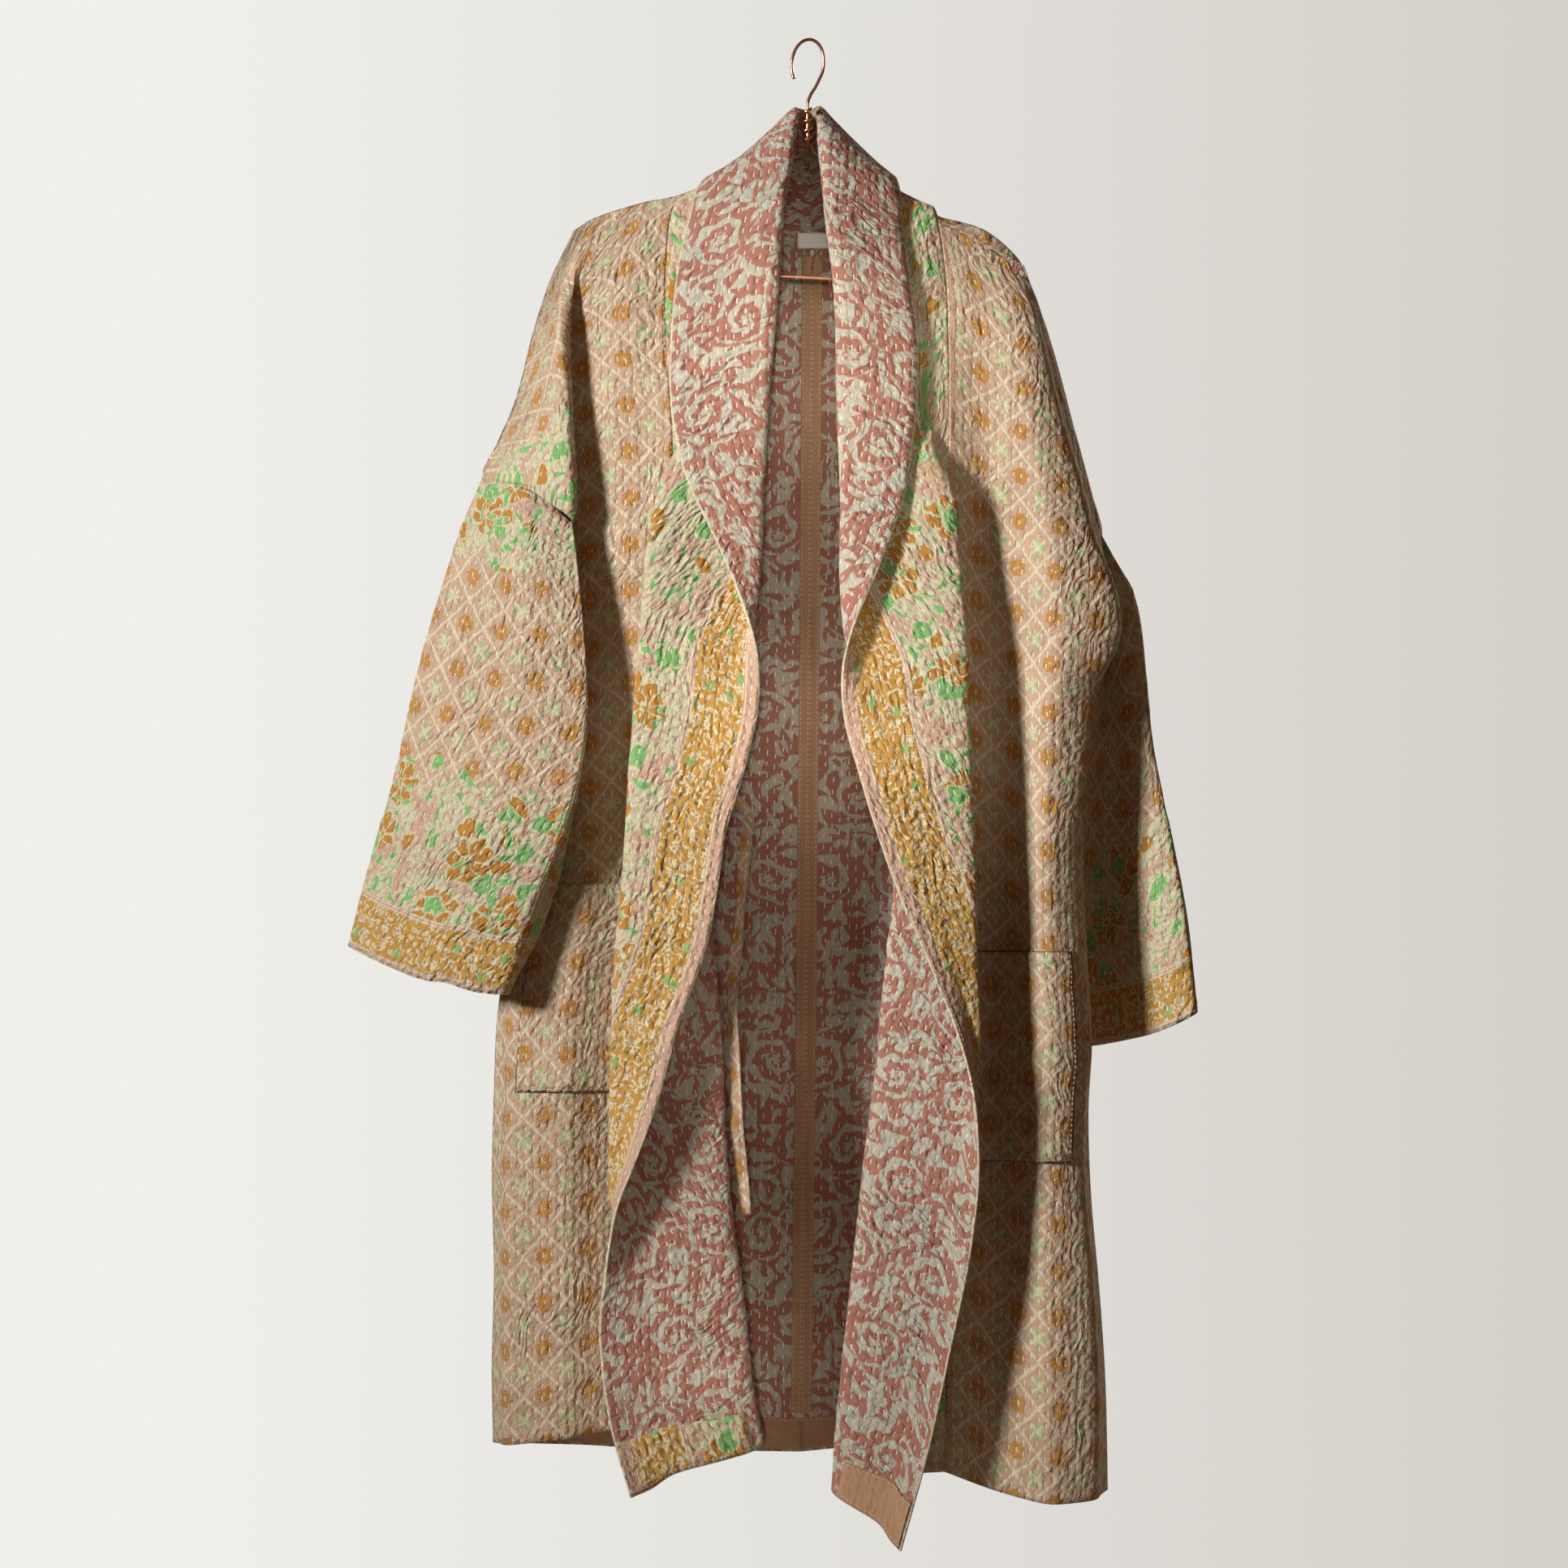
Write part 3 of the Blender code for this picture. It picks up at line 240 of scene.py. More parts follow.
eye = board.most(board.times(ring, 0.4), board.below(distance, 1.2, 0.4))
rosette_colour = board.paint(board.times(eye, 0.6), OCHRE, CREAM)
sparkle = board.both(board.within(distance, 4.8, 6.0, 0.4), board.below(board.rays(angle, 8), 0.25, 0.1))
rosette_colour = board.paint(board.times(sparkle, 0.6), rosette_colour, PINK)
pointed = board.math("POWER", board.rays(angle, 8), 0.6)
star = board.below(ragged, board.spread(pointed, 6.8, 2.6), 0.6)
accent = board.both(board.within(distance, 3.2, 8.8, 0.5),
                    board.below(board.flip(board.rays(angle, 4)), 0.26, 0.08))
accent = board.both(accent, board.below(board.noise(turned, 30.0, 0.0), 0.60, 0.08))
star_colour = board.paint(board.times(accent, 0.80), linear("CBC9A4"), linear("82B56F"))
colour = board.paint(board.times(board.both(rosette, board.flip(odd)), 0.95), colour, rosette_colour)
colour = board.paint(board.times(board.both(star, odd), 0.92), colour, star_colour)
board.link(colour, out["Color"])

# Scroll print: sage scrolls with leafy edges round small flowers on terracotta, one in each cell of
# a staggered grid and turned left or right, with curved leaves between them
scroll, board, given, out = new_group("scroll_print", [("Place", VECTOR)], [("Color", COLOUR)])
place = board.warped(given["Place"], 24.0, 0.020)
leaves = []
for size, seed, width, share in (
        (0.0250, 2.6, 0.20, 1.0), (0.0190, 6.1, 0.19, 0.95), (0.0130, 9.8, 0.17, 0.7)):
    x, y, pick = use_group(board, scatter, Place=place, Size=size, Seed=seed)
    curved = board.plus(y, board.times(board.times(x, x), 1.1))
    leaves.append(board.both(leaf(board, x, curved, 0.50, width), board.below(pick, share, 0.01)))
filling = board.most(board.most(leaves[0], leaves[1]), leaves[2])
x, y = board.split(board.vector("DIVIDE", place, (*SCROLL_CELL, 1.0)))
row = board.math("FLOOR", y)
x = board.plus(x, board.times(board.math("MODULO", row, 2.0), 0.5))
chance = board.random(board.join(board.math("FLOOR", x), row))
side = board.spread(board.math("GREATER_THAN", chance, 0.5), 2.0, -1.0)
dx = board.times(board.minus(board.math("FRACT", x), 0.5), 1000 * SCROLL_CELL[0])
dy = board.times(board.minus(board.math("FRACT", y), 0.5), 1000 * SCROLL_CELL[1])
dx = board.plus(dx, board.spread(chance, 14.0, -7.0))
dy = board.plus(dy, board.spread(board.math("FRACT", board.times(chance, 7.0)), 16.0, -8.0))
distance, angle = board.polar(board.times(dx, side), dy)
leafy = board.times(board.math("SINE", board.spread(angle, 7.0, board.times(distance, 0.25))), 1.3)
coil = board.plus(board.math("DIVIDE", board.plus(distance, leafy), 14.0),
                  board.math("DIVIDE", angle, 2 * math.pi))
arm = board.within(board.math("FRACT", coil), 0.20, 0.66, 0.04)
flower = board.below(distance, board.spread(board.rays(angle, 6), 1.9, 3.4), 0.4)
room = board.below(distance, board.plus(25.0, board.times(leafy, 1.8)), 0.8)
inside = board.most(board.both(arm, board.within(distance, 6.0, 23.0, 0.8)), flower)
mask = board.most(board.both(filling, board.flip(room)), board.both(room, inside))
worn = board.spread(board.noise(place, 150.0, 2.0), 0.22, 0.86, clamp=True)
fade = board.noise(place, 9.0, 2.0)
ground = board.paint(fade, TERRACOTTA, linear("AE7C6B"))
colour = board.paint(board.both(mask, worn), ground, board.paint(fade, SAGE, linear("C2BDAB")))
board.link(colour, out["Color"])

# Quilting: the stitches, the height of the cloth and its slow fading. Ridges run along the rows
# of stitches where Along is 1, and across them where it is 0
quilting, board, given, out = new_group("quilting", [("Place", VECTOR), ("Along", FLOAT)],
                                        [("Stitch", FLOAT), ("Height", FLOAT), ("Shade", FLOAT)])
place = given["Place"]
x, y = board.split(place)
lane = board.plus(x, board.spread(board.noise(place, 14.0, 2.0), 0.010, -0.005))
lane = board.math("DIVIDE", lane, STITCH_ROW)
lane_number = board.math("ROUND", lane)
off_lane = board.times(board.minus(lane, lane_number), 1000 * STITCH_ROW)
off = board.size(off_lane)
run = board.plus(board.math("DIVIDE", y, STITCH_STEP), board.random(board.join(lane_number, 3.0, 1.0)))
run = board.plus(run, board.times(board.noise(place, 60.0, 1.0), 0.35))
run = board.plus(run, board.times(off_lane, 0.05))
dash = board.size(board.minus(board.math("FRACT", run), 0.5))
stitch = board.both(board.below(off, 0.54, 0.12), board.below(dash, 0.21, 0.02))
leaning = board.join(board.spread(y, 0.28, x), board.spread(x, -0.22, y))
warp = board.spread(board.noise(place, 26.0, 1.0), 0.026, -0.013)
leaning = board.vector("ADD", leaning, board.join(warp, warp))
stretch = board.join(board.spread(given["Along"], 62.0, 44.0),
                     board.spread(given["Along"], -76.0, 118.0), 1.0)
ridge = board.noise(board.vector("MULTIPLY", leaning, stretch), 1.0, 1.0)
ridge = board.flip(board.times(board.size(board.minus(ridge, 0.5)), 5.0))
patchy = board.spread(board.noise(place, 15.0, 1.0), 2.6, -0.70, clamp=True)
dent = board.times(board.below(off, 1.4, 1.2), -0.06)
pull = board.times(board.both(board.below(off, 1.7, 1.3), board.below(dash, 0.27, 0.14)), -0.38)
crumple = board.spread(board.noise(place, 135.0, 3.0), 2.2, board.plus(dent, pull))
weave = board.both(board.math("SINE", board.times(x, 7000.0)), board.math("SINE", board.times(y, 7000.0)))
height = board.plus(board.times(board.both(ridge, patchy), 0.85), crumple)
board.link(stitch, out["Stitch"])
board.link(board.plus(height, board.times(weave, 0.015)), out["Height"])
board.link(board.spread(board.noise(place, 22.0, 3.0), 0.26, 0.87), out["Shade"])


def cloth(name, print_of, depth, stitched=STITCH_COVER, along=1.0):
    """A cloth material: its print as colour, the quilting as stitches and height."""
    material = bpy.data.materials.new(name)
    material.use_nodes = True
    board = Board(material.node_tree)
    shader = material.node_tree.nodes["Principled BSDF"]
    place = board.add("ShaderNodeUVMap", uv_map="cut").outputs[0]
    quilt = use_group(board, quilting, Place=place, Along=along)
    faded = board.vector("MULTIPLY", print_of(board, place), board.join(*[quilt["Shade"]] * 3))
    colour = board.paint(board.times(quilt["Stitch"], stitched), faded, linear("F0E5D2"))
    board.link(colour, shader.inputs["Base Color"])
    height = board.plus(quilt["Height"], board.times(quilt["Stitch"], 0.25))
    bump = board.add("ShaderNodeBump", [("Height", height), ("Distance", depth), ("Strength", 1.0)])
    board.link(bump.outputs[0], shader.inputs["Normal"])
    shader.inputs["Roughness"].default_value = 0.92
    shader.inputs["Specular IOR Level"].default_value = 0.25
    shader.inputs["Sheen Weight"].default_value = 0.12
    shader.inputs["Sheen Roughness"].default_value = 0.5
    return material


def lattice_print(board, place, turn=0.0):
    return use_group(board, lattice, Place=place, Turn=turn)["Color"]


def scroll_side(board, place):
    """The scroll print, with a thin pale cream line along the bands' free edge."""
    across_cut, down_cut = board.split(place)
    printed = use_group(board, scroll, Place=place)["Color"]
    # A thin pale cream line along the bands' free edge
    return board.paint(board.below(across_cut, FREE_EDGE_LINE, EDGE_SOFT), printed, CREAM)


outer_print = cloth("outer_print", lattice_print, 0.0013)
reverse_print = cloth("reverse_print", scroll_side, 0.0015, along=0.0)

# Bands with the shawl collar
# Two layers of printed cotton in one long strip a side, folded back as a collar and then twice
# down the front. Each is sewn to its front and to the back neck. Tables are in millimetres.
MM = 0.001
FOLD_GAP = 9.0
LEAST_CELL = 2.0
BAND_STEP = 47.0
SEAM_GAP = 0.05
NECK_MEET = 0.9

# Neck part of each band: seam, roll line and free edge from the centre back to the shoulder
NECK_LEFT = [
    ((4.2, 44, -181), (0.4, 30, -60), (2.0, 56, -128)),
    ((-40, 42, -173), (-6, 21, -59), (-34, 50, -122)),
    ((-82, 24, -152), (-9, 5, -65), (-68, 25, -116)),
    ((-102, 2, -135), (-12, -14, -92), (-90, -7, -123)),
]
NECK_RIGHT = [
    ((5.8, 44, -181), (2.6, 30, -60), (4.0, 56, -128)),
    ((48, 42, -177), (10, 21, -57), (42, 50, -122)),
    ((86, 24, -162), (11, 5, -65), (70, 28, -116)),
    ((104, 2, -146), (13, -14, -92), (80, -7, -124)),
]

# Sections down each band: height z, then place across (x) and depth (y) of the seam, the back
# fold, the crest, the roll line and the free edge, then how far fold and edge hang lower
BAND_LEFT = [
    (-152, -119, -92, -66, -22, -102, -9, -16, -23, -38, -22, 0, 0),
    (-200, -124, -96, -70, -26, -113, -20, -25, -30, -44, -36, 0, 0),
    (-260, -124, -100, -78, -30, -119, -28, -33, -37, -49, -44, 0, 0),
    (-320, -120, -108, -96, -35, -120, -34, -37, -41, -53, -52, 0, 0),
    (-355, -118, -107, -107, -37, -115, -35, -39, -50, -58, -60, 0, 0),
    (-390, -117, -104, -124, -39, -106, -38, -44, -56, -60, -68, 0, 0),
    (-450, -117, -98, -138, -42, -78, -40, -48, -62, -66, -76, 0, 0),
    (-490, -118, -95, -141, -44, -61, -41, -50, -66, -70, -82, 0, 0),
    (-520, -118, -94, -143, -49, -50, -42, -51, -69, -74, -90, 0, 0),
    (-548, -118, -93, -146, -58, -43, -42, -52, -71, -78, -90, 0, 0),
    (-590, -118, -91, -149, -74, -42, -42, -53, -74, -83, -88, 0, 0),
    (-700, -118, -86, -156, -105, -70, -42, -55, -79, -89, -93, 0, 0),
    (-800, -118, -83, -165, -118, -87, -42, -57, -82, -93, -98, 0, 0),
    (-870, -118, -78, -168, -138, -112, -42, -58, -84, -97, -103, 0, 0),
    (-930, -118, -75, -171, -148, -128, -42, -60, -85, -99, -106, 0, 0),
    (-990, -118, -72, -171, -160, -150, -42, -61, -84, -97, -108, 0, 0),
    (-1025, -118, -69, -168, -168, -164, -42, -61, -82, -92, -105, 0, 0),
    (-1055, -118, -66, -158, -168, -171, -42, -60, -80, -88, -99, 0, 0),
    (-1090, -118, -60, -148, -163, -177, -42, -60, -78, -84, -91, -1, -3),
    (-1130, -117, -55, -138, -160, -181, -42, -59, -78, -83, -88, -2, -8),
    (-1185, -117, -48, -130, -152, -172, -42, -58, -75, -79, -84, -6, -32),
    (-1226, -116, -40, -118, -137, -154, -42, -57, -73, -77, -82, -10, -56),
]
BAND_RIGHT = [
    (-165, 117, 92, 66, 19, 85, -11, -18, -24, -40, -24, 0, 0),
    (-215, 123, 96, 72, 25, 91, -22, -27, -32, -45, -37, 0, 0),
    (-275, 125, 102, 82, 28, 98, -30, -34, -38, -50, -46, 0, 0),
    (-335, 125, 113, 100, 29, 96, -35, -38, -42, -54, -54, 0, 0),
    (-370, 125, 113, 112, 30, 92, -36, -40, -51, -58, -61, 0, 0),
    (-408, 125, 110, 128, 31, 85, -38, -45, -57, -61, -68, 0, 0),
    (-465, 125, 101, 133, 31, 65, -40, -48, -61, -66, -76, 0, 0),
    (-500, 125, 97, 136, 32, 50, -41, -50, -65, -70, -83, 0, 0),
    (-530, 125, 94, 138, 36, 38, -42, -51, -68, -74, -90, 0, 0),
    (-560, 125, 91, 139, 45, 31, -42, -52, -71, -79, -90, 0, 0),
    (-600, 125, 88, 140, 64, 32, -42, -54, -74, -84, -88, 0, 0),
    (-660, 125, 84, 143, 86, 48, -42, -55, -78, -88, -92, 0, 0),
    (-745, 125, 79, 146, 108, 76, -42, -56, -80, -91, -96, 0, 0),
    (-815, 125, 72, 148, 126, 106, -42, -57, -82, -94, -101, 0, 0),
    (-880, 125, 64, 149, 141, 132, -42, -58, -83, -94, -104, 0, 0),
    (-920, 125, 60, 147, 147, 143, -42, -59, -80, -90, -103, 0, 0),
    (-955, 125, 56, 140, 147, 148, -42, -59, -78, -86, -98, 0, 0),
    (-1005, 125, 51, 128, 141, 150, -42, -59, -77, -83, -90, 0, 0),
    (-1065, 124, 45, 120, 132, 142, -42, -58, -75, -81, -87, -2, -8),
    (-1130, 123, 37, 106, 118, 126, -42, -58, -74, -79, -84, -4, -20),
    (-1200, 122, 29, 88, 98, 106, -42, -57, -72, -77, -82, -7, -42),
    (-1264, 121, 24, 64, 74, 82, -42, -56, -70, -75, -80, -12, -65),
]

# How each stretch between two control places is divided, as fractions of the stretch
TURN = (0, 0.34, 0.67)
LEG = (0, 0.18, 0.5, 0.82)
START_LEG = (0, 0.5, 0.84)
END_LEG = (0, 0.16, 0.55)
HALF = (0, 0.5)
WHOLE = (0,)
THIRDS = (0, 0.33, 0.67)


def unit(vector):
    return vector / max(float(np.linalg.norm(vector)), 1e-9)


def hermite(rows, knots, targets):
    """A smooth curve through the rows at their knots, read off at the targets."""
    rows = np.asarray(rows, float)
    steps = np.diff(knots)
    shape = (-1,) + (1,) * (rows.ndim - 1)
    chords = (rows[1:] - rows[:-1]) / steps.reshape(shape)
    slopes = np.zeros_like(rows)
    slopes[0] = chords[0]
    slopes[-1] = chords[-1]
    for i in range(1, len(rows) - 1):
        slopes[i] = (chords[i - 1] * steps[i] + chords[i] * steps[i - 1]) / (steps[i] + steps[i - 1])
    made = []
    for target in targets:
        i = min(max(int(np.searchsorted(knots, target, side="right")) - 1, 0), len(rows) - 2)
        s = (target - knots[i]) / steps[i]
        ends = (2 * s ** 3 - 3 * s ** 2 + 1) * rows[i] + (3 * s ** 2 - 2 * s ** 3) * rows[i + 1]
        turns = (s ** 3 - 2 * s ** 2 + s) * slopes[i] + (s ** 3 - s ** 2) * slopes[i + 1]
        made.append(ends + steps[i] * turns)
    return np.array(made)


def across(points, spans):
    """One section: a smooth line through its control places, divided by the spans."""
    points = np.asarray(points, float)
    gaps = np.linalg.norm(points[1:] - points[:-1], axis=1)
    knots = np.concatenate([[0], np.cumsum(np.maximum(gaps, 0.5) ** 0.5)])
    targets = []
    for i, span in enumerate(spans):
        targets += [knots[i] + part * (knots[i + 1] - knots[i]) for part in span]
    targets.append(knots[-1])
    return hermite(points, knots, targets)


def along(sections, step, least=None):
    """Fills in between sections so that rows are about one step apart."""
    sections = np.asarray(sections, float)
    gaps = np.linalg.norm(sections[1:] - sections[:-1], axis=2).mean(axis=1)
    knots = np.concatenate([[0], np.cumsum(gaps)])
    targets = []
    for i, gap in enumerate(gaps):
        count = max(1, int(round(gap / step)))
        if least and i < len(least):
            count = max(count, least[i])
        targets += [knots[i] + gap * k / count for k in range(count)]
    targets.append(knots[-1])
    return hermite(sections, knots, targets)


def normals_of(grid, sign):
    """At each point, the mean of the directions in which the cells round it face."""
    slant_one = grid[1:, 1:] - grid[:-1, :-1]
    slant_two = grid[1:, :-1] - grid[:-1, 1:]
    cells = np.cross(slant_one, slant_two) * sign
    sizes = np.linalg.norm(cells, axis=2, keepdims=True)
    cells = np.where(sizes > LEAST_CELL, cells / np.maximum(sizes, 1e-9), 0)
    normals = np.zeros_like(grid)
    for di in (0, 1):
        for dj in (0, 1):
            normals[di:len(grid) - 1 + di, dj:grid.shape[1] - 1 + dj] += cells
    lengths = np.linalg.norm(normals, axis=2, keepdims=True)
    return normals / np.maximum(lengths, 1e-9)


def fold_pair(before, place, after):
    """The two sides of a fold, a fold's gap apart, or closer where its neighbours are near."""
    way = unit(unit(place - before) + unit(after - place))
    near = min(np.linalg.norm(place - before), np.linalg.norm(after - place))
    reach = min(FOLD_GAP / 2, 0.34 * near)
    return [place - way * reach, place + way * reach]


def band_sections(neck, table):
    """Control places across a band: seam, both sides of each of the three folds, free edge."""
    rows = []
    for seam, roll, edge in neck:
        seam, roll, edge = np.array(seam, float), np.array(roll, float), np.array(edge, float)
        rows.append([seam, seam * 0.7 + roll * 0.3, seam * 0.42 + roll * 0.58, roll, edge])
    for z, sx, fx, cx, rx, ex, sy, fy, cy, ry, ey, fold_drop, edge_drop in table:
        crest_z = z + fold_drop * 0.4 + edge_drop * 0.6
        roll_z = z + fold_drop * 0.15 + edge_drop * 0.85
        rows.append([np.array((sx, sy, z), float), np.array((fx, fy, z + fold_drop), float),
                     np.array((cx, cy, crest_z), float), np.array((rx, ry, roll_z), float),
                     np.array((ex, ey, z + edge_drop), float)])
    sections = []
    for row in rows:
        line = [row[0]]
        for k in (1, 2, 3):
            line += fold_pair(row[k - 1], row[k], row[k + 1])
        line.append(row[4])
        sections.append(line)
    return sections


def band(neck, table, sign):
    spans = (START_LEG, TURN, LEG, TURN, LEG, TURN, END_LEG)
    sections = [across(section, spans) for section in band_sections(neck, table)]
    grid = along(sections, BAND_STEP, least=(2, 2, 2, 2))
    return grid, normals_of(grid, sign)


# Bouquets: outlined daisies, sprays, blooms and leaves on the rose ground. A round shape has its
# lobes, their depth, its inner reach and their fullness; a long one its two sizes, without and
# with its outline
DAISY, BLOOM, SPRAY = (6.0, 0.26, 0.19, 0.6), (3.5, 0.12, 0.30, 0.6), (3.5, 0.40, 0.06, 1.0)
LEAF, PETAL = ((0.46, 0.17), (0.52, 0.24)), ((0.36, 0.25), (0.42, 0.32))
bouquet, board, given, out = new_group("bouquets", [("Place", VECTOR)], [("Color", COLOUR)])
place = board.warped(given["Place"], 70.0, 0.011)
trail = board.size(board.minus(board.noise(given["Place"], 30.0, 0.0), 0.5))
colour = board.paint(board.times(board.below(trail, 0.016, 0.008), 0.8), ROSE, PALE_GREEN)
for size, seed, shape, ink, share in (
        (0.0260, 1.3, SPRAY, PALE_GREEN, 0.75), (0.0190, 7.1, LEAF, PALE_GREEN, 0.60),
        (0.0540, 3.7, DAISY, PALE_GREEN, 0.90), (0.0480, 5.2, BLOOM, OCHRE, 0.42),
        (0.0120, 17.3, LEAF, GREEN, 0.26), (0.0300, 9.4, PETAL, GREEN, 0.34),
        (0.0270, 14.1, PETAL, OCHRE, 0.26), (0.0190, 12.8, LEAF, GREEN, 0.20)):
    x, y, pick = use_group(board, scatter, Place=place, Size=size, Seed=seed)
    if shape in (LEAF, PETAL):
        inner, outer = [leaf(board, x, y, length, width) for length, width in shape]
    else:
        lobes, deep, wide, fullness = shape
        distance, angle = board.polar(x, y)
        distance = board.plus(distance, board.spread(board.noise(given["Place"], 420.0, 1.0), 0.06, -0.03))
        wave = board.size(board.math("COSINE", board.times(angle, lobes)))
        rim = board.spread(board.math("POWER", wave, fullness), deep, wide)
        inner, outer = board.below(distance, rim, 0.02), board.below(distance, board.plus(rim, 0.055), 0.02)
        if shape is not SPRAY:
            vein = board.both(board.below(wave, 0.32, 0.06), board.within(distance, 0.10, 0.9, 0.02))
            eye = board.within(distance, 0.05, 0.11, 0.02)
            inner = board.both(inner, board.flip(board.most(vein, eye)))
    chosen = board.below(pick, share, 0.01)
    outline = ROSE if ink is PALE_GREEN else PALE_GREEN
    colour = board.paint(board.both(board.times(outer, 0.85), chosen), colour, outline)
    colour = board.paint(board.both(inner, chosen), colour, ink)
board.link(colour, out["Color"])

# Gold border: cream sprigs, small daisies and a few green dots on gold
border, board, given, out = new_group("gold_border", [("Place", VECTOR)], [("Color", COLOUR)])
colour = board.paint(board.noise(given["Place"], 60.0, 2.0), GOLD, linear("B98B42"))
for size, seed, shape, ink, share in (
        (0.0085, 2.2, "sprig", CREAM, 0.70), (0.0070, 4.9, "sprig", CREAM, 0.55),
        (0.0150, 8.3, "daisy", CREAM, 0.65), (0.0170, 6.6, "dot", GREEN, 0.14)):
    x, y, pick = use_group(board, scatter, Place=given["Place"], Size=size, Seed=seed)
    if shape == "sprig":
        mask = leaf(board, x, y, 0.45, 0.15)
    else:
        distance, angle = board.polar(x, y)
        mask = board.below(distance, board.spread(board.rays(angle, 6), 0.15, 0.16), 0.03)
        if shape == "daisy":
            mask = board.both(mask, board.flip(board.below(distance, 0.08, 0.03)))
    mask = board.both(mask, board.below(pick, share, 0.01))
    colour = board.paint(board.times(mask, 0.85), colour, ink)
board.link(colour, out["Color"])

# Printed lines beside the selvedge and the gold, in metres
PRINT_LINE = 0.0012
LINE_IN_SELVEDGE = 0.0022
LINES_PAST_GOLD = (0.0006, 0.0036)
ROSE_PAST_GOLD = 0.0055
GOLD_SOFT = 0.0004
BAND_SELVEDGE, BAND_GOLD_END = 0.0135, 0.058


def striped(board, distance, colour, selvedge, gold_end, place):
    """The selvedge, its lines and the gold border, over what lies beyond them."""
    colour = board.paint(board.below(distance, gold_end + ROSE_PAST_GOLD, EDGE_SOFT), colour, ROSE)
    for start in LINES_PAST_GOLD:
        line = board.within(distance, gold_end + start, gold_end + start + PRINT_LINE, EDGE_SOFT)
        colour = board.paint(line, colour, CREAM)
    gold = use_group(board, border, Place=place)["Color"]
    colour = board.paint(board.below(distance, gold_end, GOLD_SOFT), colour, gold)
    colour = board.paint(board.below(distance, selvedge, GOLD_SOFT), colour, ROSE)
    start = selvedge - LINE_IN_SELVEDGE
    colour = board.paint(board.within(distance, start, start + PRINT_LINE, EDGE_SOFT), colour, CREAM)
    # A thin pale cream line along the edge itself
    return board.paint(board.below(distance, PRINT_LINE, EDGE_SOFT), colour, CREAM)


def band_side(board, place):
    """Seen from the free edge inwards: selvedge, gold border, then bouquets."""
    across_cut, down_cut = board.split(place)
    flowers = use_group(board, bouquet, Place=place)["Color"]
    return striped(board, across_cut, flowers, BAND_SELVEDGE, BAND_GOLD_END, place)


band_print = cloth("band_print", band_side, 0.0018)

# Panels are drawn finer than their solids and closed into thin shells. Each has its cut in metres
# as its UV map, and its printed side and its reverse side as two materials
ACROSS_FINE = 4
DOWN_FINE = 8
THIN = 1.9
RUMPLE = 1.15
FLAT_EDGE = 6
RIGHT_CREASES = (0.0, 0.9)
RIGHT_BAND_PRINT = (0.0, 3.1)
RIGHT_PRINT = 1.3


def finer(values, knots_from, parts):
    """Fills in between rows; each column keeps its own spacing."""
    columns = []
    for j in range(values.shape[1]):
        gaps = np.linalg.norm(knots_from[1:, j] - knots_from[:-1, j], axis=1)
        knots = np.concatenate([[0], np.cumsum(np.maximum(gaps, 0.2) ** 0.5)])
        targets = [knots[i] + (knots[i + 1] - knots[i]) * k / parts
                   for i in range(len(knots) - 1) for k in range(parts)] + [knots[-1]]
        columns.append(hermite(values[:, j], knots, targets))
    return np.stack(columns, axis=1)


def refine(grid, normals, sign, tube=False):
    """The panel on a fine grid, with the coarse grid's shared normals kept along its edges."""
    if tube:
        grid = np.concatenate([grid, grid[:, :1]], axis=1)
        normals = np.concatenate([normals, normals[:, :1]], axis=1)
    down = finer(grid, grid, DOWN_FINE)
    down_n = finer(normals, grid, DOWN_FINE)
    fine = finer(down.swapaxes(0, 1), down.swapaxes(0, 1), ACROSS_FINE).swapaxes(0, 1)
    edge_n = finer(down_n.swapaxes(0, 1), down.swapaxes(0, 1), ACROSS_FINE).swapaxes(0, 1)
    if tube:
        fine, edge_n = fine[:, :-1], edge_n[:, :-1]
        around = np.concatenate([fine[:, -1:], fine, fine[:, :1]], axis=1)
        fine_n = normals_of(around, sign)[:, 1:-1]
        fine_n[0] = edge_n[0]
    else:
        fine_n = normals_of(fine, sign)
        for edge in ((0, slice(None)), (slice(None), 0), (slice(None), -1)):
            fine_n[edge] = edge_n[edge]
    lengths = np.linalg.norm(fine_n, axis=2, keepdims=True)
    return fine, fine_n / np.maximum(lengths, 1e-9)


def cut_of(fine, across_from_end, tube=False):
    """Each point's place in the flat cut, in metres: across, and up from the hem or cuff."""
    closed = np.concatenate([fine, fine[:, :1]], axis=1) if tube else fine
    steps = np.linalg.norm(closed[:, 1:] - closed[:, :-1], axis=2)
    across_run = np.concatenate([np.zeros((len(fine), 1)), np.cumsum(steps, axis=1)], axis=1)
    if across_from_end:
        across_run = across_run[:, -1:] - across_run
    steps = np.linalg.norm(closed[1:] - closed[:-1], axis=2)
    down_run = np.concatenate([np.zeros((1, closed.shape[1])), np.cumsum(steps, axis=0)], axis=0)
    return np.stack([across_run, down_run[-1:] - down_run], axis=2) * MM


def rumple(fine, fine_n, cut, tube=False):
    """Soft uneven creases, across and aslant the quilting, that die away at the panel's edges."""
    rows, columns = fine.shape[:2]
    made = fine.copy()
    for i in range(rows):
        down_fade = min(1.0, i / FLAT_EDGE, (rows - 1 - i) / FLAT_EDGE)
        for j in range(columns):
            fade = down_fade if tube else min(down_fade, j / FLAT_EDGE, (columns - 1 - j) / FLAT_EDGE)
            u, v = cut[i, j] * 1000
            slow = noise.noise(Vector((u / 75, v / 95, 3.0)))
            crease = noise.noise(Vector((u / 42 + v / 70, v / 15 - u / 60, 9.0)))
            deep = noise.noise(Vector((u / 60, v / 60, 21.0)))
            depth = 1.6 * slow + 1.5 * crease * max(0.0, 0.35 + 1.6 * deep)
            made[i, j] += fine_n[i, j] * fade * RUMPLE * depth
    return made


